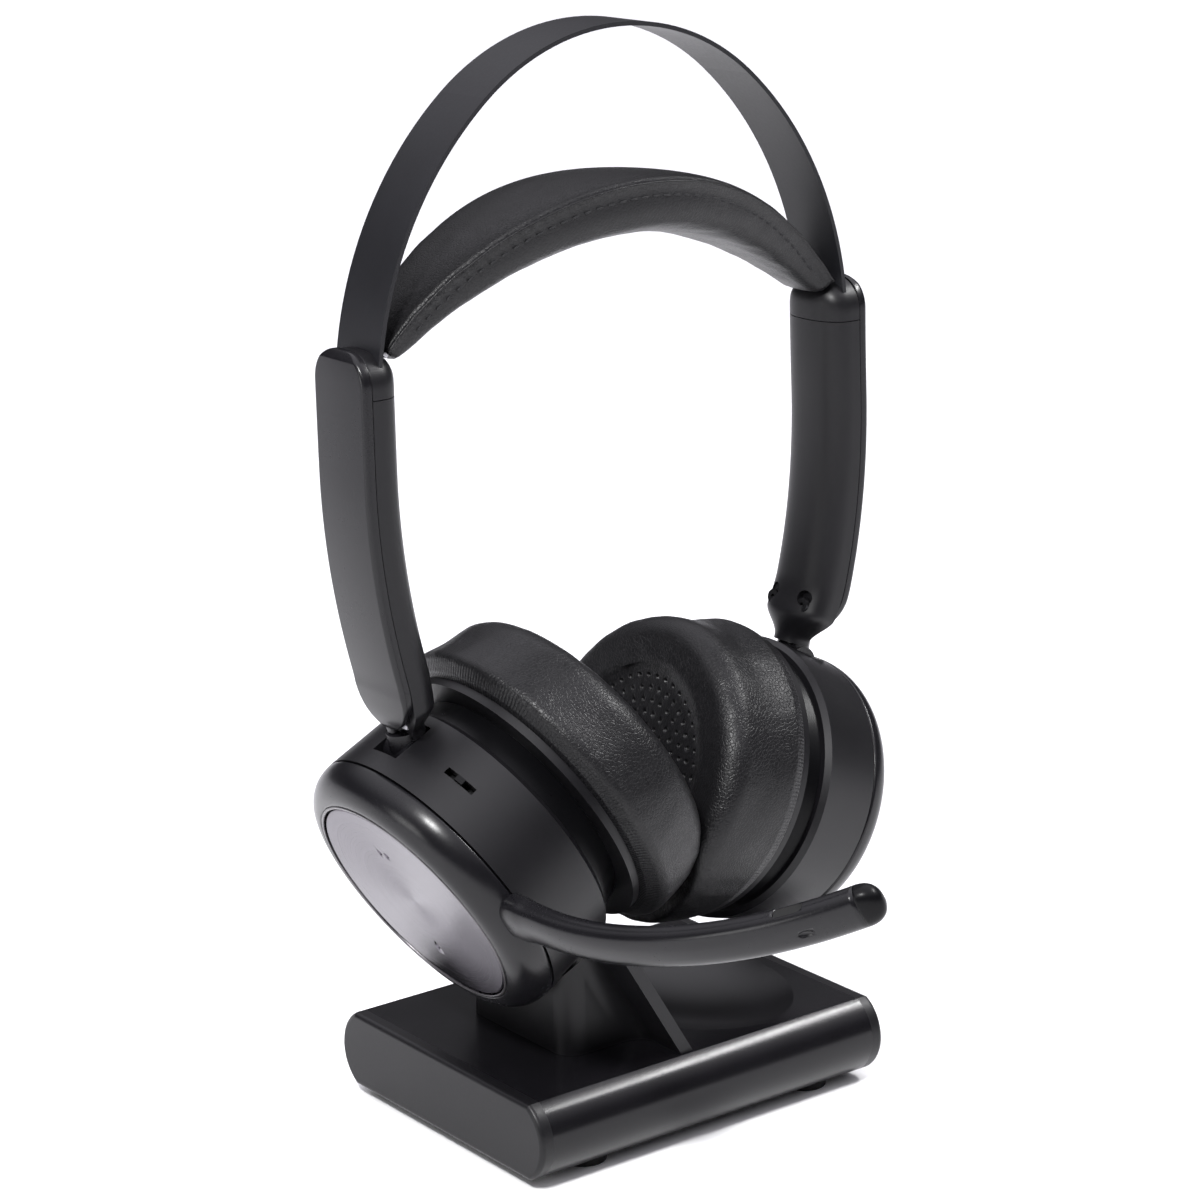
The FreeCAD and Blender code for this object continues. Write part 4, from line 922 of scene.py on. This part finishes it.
def band_section(share):
    """Section of the padded band: cover on top, welts at the two seams, cushion underneath."""
    half, rise, under = (band_size(sizes, share) for sizes in (BAND_HALF, BAND_RISE, BAND_DEPTH))
    cover = []
    for step in range(COVER_STEPS + 1):
        turn = math.pi * step / COVER_STEPS
        cover.append((-half * math.cos(turn), rise * math.sin(turn) ** COVER_POWER))
    welt = []
    for step in range(1, WELT_STEPS):
        turn = math.pi * step / WELT_STEPS
        welt.append((half + WELT * math.sin(turn), WELT * 0.5 * math.cos(turn) - WELT_DROP))
    other_welt = [(-across, over) for across, over in reversed(welt)]
    turns = [math.pi * step / CUSHION_STEPS for step in range(1, CUSHION_STEPS)]
    lower = [cushion_side(half, under, turn) for turn in turns]
    return cover + welt + lower + other_welt


def rumple(point, scales, height):
    """Rise of a noise at a point, with its own scale along each axis."""
    return noise.noise(Vector([part * scale for part, scale in zip(point, scales)])) * height


def make_padded_band():
    centres, frames, sections = [], [], []
    for step in range(BAND_STEPS + 1):
        share = 2 * step / BAND_STEPS - 1
        centre, across, over = band_frame(math.radians(BAND_SWEEP) * share)
        centres.append(centre)
        frames.append((across, over))
        sections.append(band_section(share))
    band = tube("padded_band", centres, frames, lambda index: sections[index], None)
    for vertex in band.data.vertices:
        point = vertex.co / MM
        if point.z < BAND_TAUT_FROM:
            wrinkle = rumple(point, WRINKLE_SCALE, WRINKLE)
            vertex.co.z += (wrinkle + rumple(point, FINE_SCALE, FINE_WRINKLE)) * MM
    dress(band, "leatherette")
    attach(band, "frame")
    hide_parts("inner_band_pad")


def stitch_points(middle, across, over):
    """Vertices of one stitch: short rounded thread along the band."""
    along = across.cross(over)
    points = []
    for place, radius in STITCH_RINGS:
        for step in range(STITCH_SIDES):
            spin = 2 * math.pi * step / STITCH_SIDES
            points.append(middle + along * place * STITCH_LENGTH
                          + (across * math.cos(spin) + over * math.sin(spin)) * radius)
    return points


def make_stitches():
    """Two rows of short stitches in the cushion's sides, just under its seams."""
    verts, faces = [], []
    reach = math.radians(BAND_SWEEP) * STITCHED
    count = round(2 * reach * BAND_ARCH / STITCH_PITCH)
    for number in range(count):
        angle = reach * (2 * (number + 0.5) / count - 1)
        share = angle / math.radians(BAND_SWEEP)
        centre, across, over = band_frame(angle)
        half, under = band_size(BAND_HALF, share), band_size(BAND_DEPTH, share)
        turn = math.asin(min(STITCH_DEPTH / under, STITCH_LOWEST) ** (1 / CUSHION_POWER))
        out, drop = cushion_side(half, under, turn)
        for hand in (-1, 1):
            faces += skin(len(verts), len(STITCH_RINGS), STITCH_SIDES)
            verts += stitch_points(centre + across * out * hand + over * drop, across, over)
    stitches = build("band_stitches", verts, faces)
    dress(stitches, "leatherette", THREAD)
    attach(stitches, "frame")


make_padded_band()
make_stitches()


# ---------------------------------------------------------------- arms

# An arm is worked out on the right, and the left one is turned half way round. Its sections are
# (across, outwards) points about its middle line, across being along Y. The middle line is upright
# down to ARM_STRAIGHT and then follows an arc about ARM_CENTRE. Shifts move it outwards at the
# arm's top and at its lower end. The shell is full above ARM_FULL and its cap starts at ARM_SEAM.
ARM_CENTRE = -112.3
ARM_STRAIGHT = 163.0
ARM_MIDDLE = 180.4
ARM_HALF = 9.8
ARM_INNER = -6.8
ARM_SPLIT = 2.1
ARM_OUTER = 4.6
ARM_LOW = 100.9
ARM_FULL = 108.5
ARM_SEAM = 180.5
ARM_TOP = 190.2
ARM_SHIFTS = {LEFT: (-0.7, -1.5), RIGHT: (-0.6, 1.6)}
ARM_CORNER = 7.4
SHELL_CORNER = 5.6
SHELL_POWER = 0.86
SHELL_STEPS = 30
SHELL_EDGE = 0.06
SHELL_RIM = 0.4
SHELL_SIDE = 0.3
SEAM_GAP = 0.1
NECK_COLLAR = 4.7
PLATE_LOW = 103.4
PLATE_TOP = ARM_TOP + 0.3
PLATE_FOOT = 8.6
PLATE_GAP = 0.14
PLATE_EDGE = 2.0
PLATE_INNER_EDGE = 0.15
# The plate thins down its foot by a slope, up to a limit, and up its top by another, from a height.
FOOT_SLOPE = 0.12
FOOT_THINNED = 0.9
TOP_SLOPE = 0.5
TOP_SLOPE_FROM = ARM_TOP - 1.6
SCREW_HEIGHT = 112.0
SCREW_SIDE = 5.4
SCREW_BORE = 1.9
SCREW_BORE_START = ARM_INNER - 2.5
SCREW_BORE_LENGTH = 4.6
CREASE_ANGLE = 38


def arm_line(level, side):
    """Point on an arm's middle line at a height, and the direction out of the arm there."""
    top, low = ARM_SHIFTS[side]
    shift = low + (top - low) * smooth(level, ARM_FULL, ARM_TOP)
    shift *= smooth(level, ARM_LOW + 1, ARM_FULL + 8)
    if level >= ARM_STRAIGHT:
        return Vector((ARM_CENTRE + ARM_MIDDLE + shift, 0, level)), X_AXIS
    drop = math.asin((ARM_STRAIGHT - level) / ARM_MIDDLE)
    outwards = Vector((math.cos(drop), 0, -math.sin(drop)))
    return Vector((ARM_CENTRE, 0, ARM_STRAIGHT)) + outwards * (ARM_MIDDLE + shift), outwards


def arm_place(side):
    return Matrix.Rotation(math.pi if side < 0 else 0.0, 4, "Z")


def shoulder(level, top, radius, size):
    """A half width or depth that rounds off to an arc below the top."""
    rise = max(level - (top - radius), 0.0)
    return size - radius + math.sqrt(max(radius ** 2 - rise ** 2, 0.0))


def shell_section(level):
    """Inner shell of an arm: flat on the plate's side, bulged towards the head, drawn in to the neck."""
    half = shoulder(level, ARM_TOP, ARM_CORNER, ARM_HALF)
    depth = shoulder(level, ARM_TOP, SHELL_CORNER, -ARM_INNER)
    corner = [(half - SHELL_EDGE, ARM_SPLIT),
              (half, ARM_SPLIT - SHELL_EDGE),
              (half, ARM_SPLIT - SHELL_RIM)]
    points = [(-across, out) for across, out in corner]
    for step in range(SHELL_STEPS + 1):
        turn = math.pi * step / SHELL_STEPS
        points.append((-signed_power(math.cos(turn), SHELL_POWER) * half,
                       -SHELL_SIDE - (depth - SHELL_SIDE) * math.sin(turn) ** SHELL_POWER))
    points += reversed(corner)
    full = smooth(level, ARM_LOW + 0.6, ARM_FULL)
    drawn = []
    for across, out in points:
        turn = math.atan2(out, across)
        drawn.append((full * across + (1 - full) * NECK_COLLAR * math.cos(turn),
                      full * out + (1 - full) * NECK_COLLAR * math.sin(turn)))
    return drawn


def plate_section(level):
    """Outer plate of an arm, with softly rounded outer edges and a half-round lower end."""
    half = shoulder(level, PLATE_TOP, ARM_CORNER, ARM_HALF)
    foot = max(ARM_HALF - (level - PLATE_LOW), 0.0)
    half = min(half, ARM_HALF - PLATE_FOOT + math.sqrt(PLATE_FOOT ** 2 - min(foot, PLATE_FOOT) ** 2))
    thinned = min(FOOT_THINNED, FOOT_SLOPE * foot) + TOP_SLOPE * max(level - TOP_SLOPE_FROM, 0.0)
    outer = ARM_OUTER - thinned
    inner = ARM_SPLIT + PLATE_GAP
    edge = min(PLATE_EDGE, half * 0.45)
    corners = [(0, inner, 0), (half, inner, PLATE_INNER_EDGE), (half, outer, edge),
               (-half, outer, edge), (-half, inner, PLATE_INNER_EDGE), (0, inner, 0)]
    return [tuple(point) for point in rounded(corners, steps=6)][:-1]


def levels(low, high, step, ends):
    """Heights from low to high, drawn closer together near both ends by a share from 0 to 1."""
    count = max(2, round((high - low) / step))
    heights = []
    for number in range(count + 1):
        turn = 2 * math.pi * number / count
        heights.append(low + (high - low) * (turn - ends * math.sin(turn)) / (2 * math.pi))
    return heights


def crease(piece):
    """Keeps the edges sharper than the crease angle crisp and every other one smooth."""
    work = bmesh.new()
    work.from_mesh(piece.data)
    for edge in work.edges:
        sharp = len(edge.link_faces) != 2 or edge.calc_face_angle(0.0) >= math.radians(CREASE_ANGLE)
        edge.smooth = not sharp
    work.to_mesh(piece.data)
    work.free()


def arm_part(name, side, heights, section, slot, replaced):
    centres, frames = [], []
    for level in heights:
        centre, outwards = arm_line(level, side)
        centres.append(centre)
        frames.append((Y_AXIS, outwards))
    part = tube(name, centres, frames, lambda index: section(heights[index]), arm_place(side))
    crease(part)
    dress(part, slot)
    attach(part, "frame")
    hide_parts(replaced)
    return part


def screw_bores(side):
    """Cutters for the two screws' holes in an arm's inner face."""
    centre, outwards = arm_line(SCREW_HEIGHT, side)
    turn = Matrix((Y_AXIS, outwards.cross(Y_AXIS), outwards)).transposed().to_4x4()
    bores = []
    for across in (-SCREW_SIDE, SCREW_SIDE):
        start = centre + Y_AXIS * across + outwards * SCREW_BORE_START
        place = arm_place(side) @ Matrix.Translation(start * MM) @ turn
        bores.append(cylinder("bore", SCREW_BORE, 0, SCREW_BORE_LENGTH, place, segments=28))
    return bores


def make_arm(side):
    name = side_name(side)
    shell = arm_part(name + "_arm_shell", side, levels(ARM_LOW, ARM_SEAM - SEAM_GAP, step=0.9, ends=0.35),
                     shell_section, "matte_black", name + "_arm_body")
    bored(shell, screw_bores(side))
    crease(shell)
    arm_part(name + "_arm_shoulder", side, levels(ARM_SEAM + SEAM_GAP, ARM_TOP, step=0.45, ends=0.8),
             shell_section, "matte_black", name + "_arm_cap")
    arm_part(name + "_arm_face", side, levels(PLATE_LOW, PLATE_TOP, step=0.7, ends=0.9),
             plate_section, "satin_black", name + "_arm_plate")


for arm_side in SIDES:
    make_arm(arm_side)


# ---------------------------------------------------------------- stage, lights and camera

# Places and sizes in this section are in metres.
FLOOR_HALF = 12
HORIZON = 0.05
ZENITH = 2.2
DOME_COLOUR = (0.985, 0.97, 1.04, 1)
# name, place, point it shines at, sizes, power in watts
LIGHTS = (
    ("key", (-0.55, -0.35, 0.75), (0, 0, 0.1), (0.12, 0.12), 9.0),
    ("edge", (0.55, -0.25, 0.72), (0, -0.04, 0.02), (0.34, 0.04), 4.5),
    ("side", (-0.9, 0.05, 0.22), (0, 0, 0.05), (0.35, 0.25), 1.6),
)
CAMERA_AT = (-0.4606, -0.6012, 0.3328)
CAMERA_LENS = 101.4
CAMERA_YAW = 37.35
CAMERA_PITCH = 15.56
CAMERA_ROLL = -0.84


def make_floor():
    corners = [(-FLOOR_HALF, -FLOOR_HALF, 0), (FLOOR_HALF, -FLOOR_HALF, 0),
               (FLOOR_HALF, FLOOR_HALF, 0), (-FLOOR_HALF, FLOOR_HALF, 0)]
    floor = build("floor", corners, [(0, 1, 2, 3)], None, 1.0)
    floor.location.z = CAD_BOX[0][2]
    paint = Paint("pale floor", (0.93, 0.93, 0.93), 0.8)
    paint.mottle(paint.noise(3.0), 0.99, 1.0)
    floor.data.materials.append(paint.done())


def make_dome():
    """Soft sky that is bright overhead and dim at the horizon."""
    world = bpy.data.worlds.new("studio")
    world.use_nodes = True
    nodes = world.node_tree.nodes
    links = world.node_tree.links
    parts = nodes.new("ShaderNodeSeparateXYZ")
    links.new(nodes.new("ShaderNodeTexCoord").outputs["Generated"], parts.inputs[0])
    height = nodes.new("ShaderNodeMapRange")
    height.interpolation_type = "SMOOTHSTEP"
    links.new(parts.outputs[2], height.inputs["Value"])
    for label, value in (("From Min", 0.3), ("From Max", 0.95), ("To Min", HORIZON), ("To Max", ZENITH)):
        height.inputs[label].default_value = value
    links.new(height.outputs["Result"], nodes["Background"].inputs["Strength"])
    nodes["Background"].inputs["Color"].default_value = DOME_COLOUR
    bpy.context.scene.world = world
    bpy.context.scene.view_settings.view_transform = "Standard"


def area_light(name, at, target, size, power):
    light = bpy.data.lights.new(name, "AREA")
    light.shape = "RECTANGLE"
    light.size, light.size_y = size
    light.energy = power
    lamp = bpy.data.objects.new(name, light)
    bpy.context.scene.collection.objects.link(lamp)
    lamp.location = at
    lamp.rotation_euler = (Vector(target) - Vector(at)).to_track_quat("-Z", "Y").to_euler()


def make_camera():
    """Camera at the viewing angle: yaw to the right of +Y, pitch below level, a slight roll."""
    camera = bpy.data.cameras.new("camera")
    camera.sensor_width = 36.0
    camera.lens = CAMERA_LENS
    camera.clip_start = 0.05
    view = bpy.data.objects.new("camera", camera)
    bpy.context.scene.collection.objects.link(view)
    yaw, pitch, roll = (math.radians(angle) for angle in (CAMERA_YAW, CAMERA_PITCH, CAMERA_ROLL))
    right = Vector((math.cos(yaw), -math.sin(yaw), 0))
    forward = Vector((math.sin(yaw) * math.cos(pitch), math.cos(yaw) * math.cos(pitch), -math.sin(pitch)))
    over = right.cross(forward)
    turned_right = right * math.cos(roll) + over * math.sin(roll)
    turned_over = over * math.cos(roll) - right * math.sin(roll)
    turn = Matrix((turned_right, turned_over, -forward)).transposed()
    view.matrix_world = Matrix.Translation(CAMERA_AT) @ turn.to_4x4()
    bpy.context.scene.camera = view


make_floor()
make_dome()
for settings in LIGHTS:
    area_light(*settings)
make_camera()
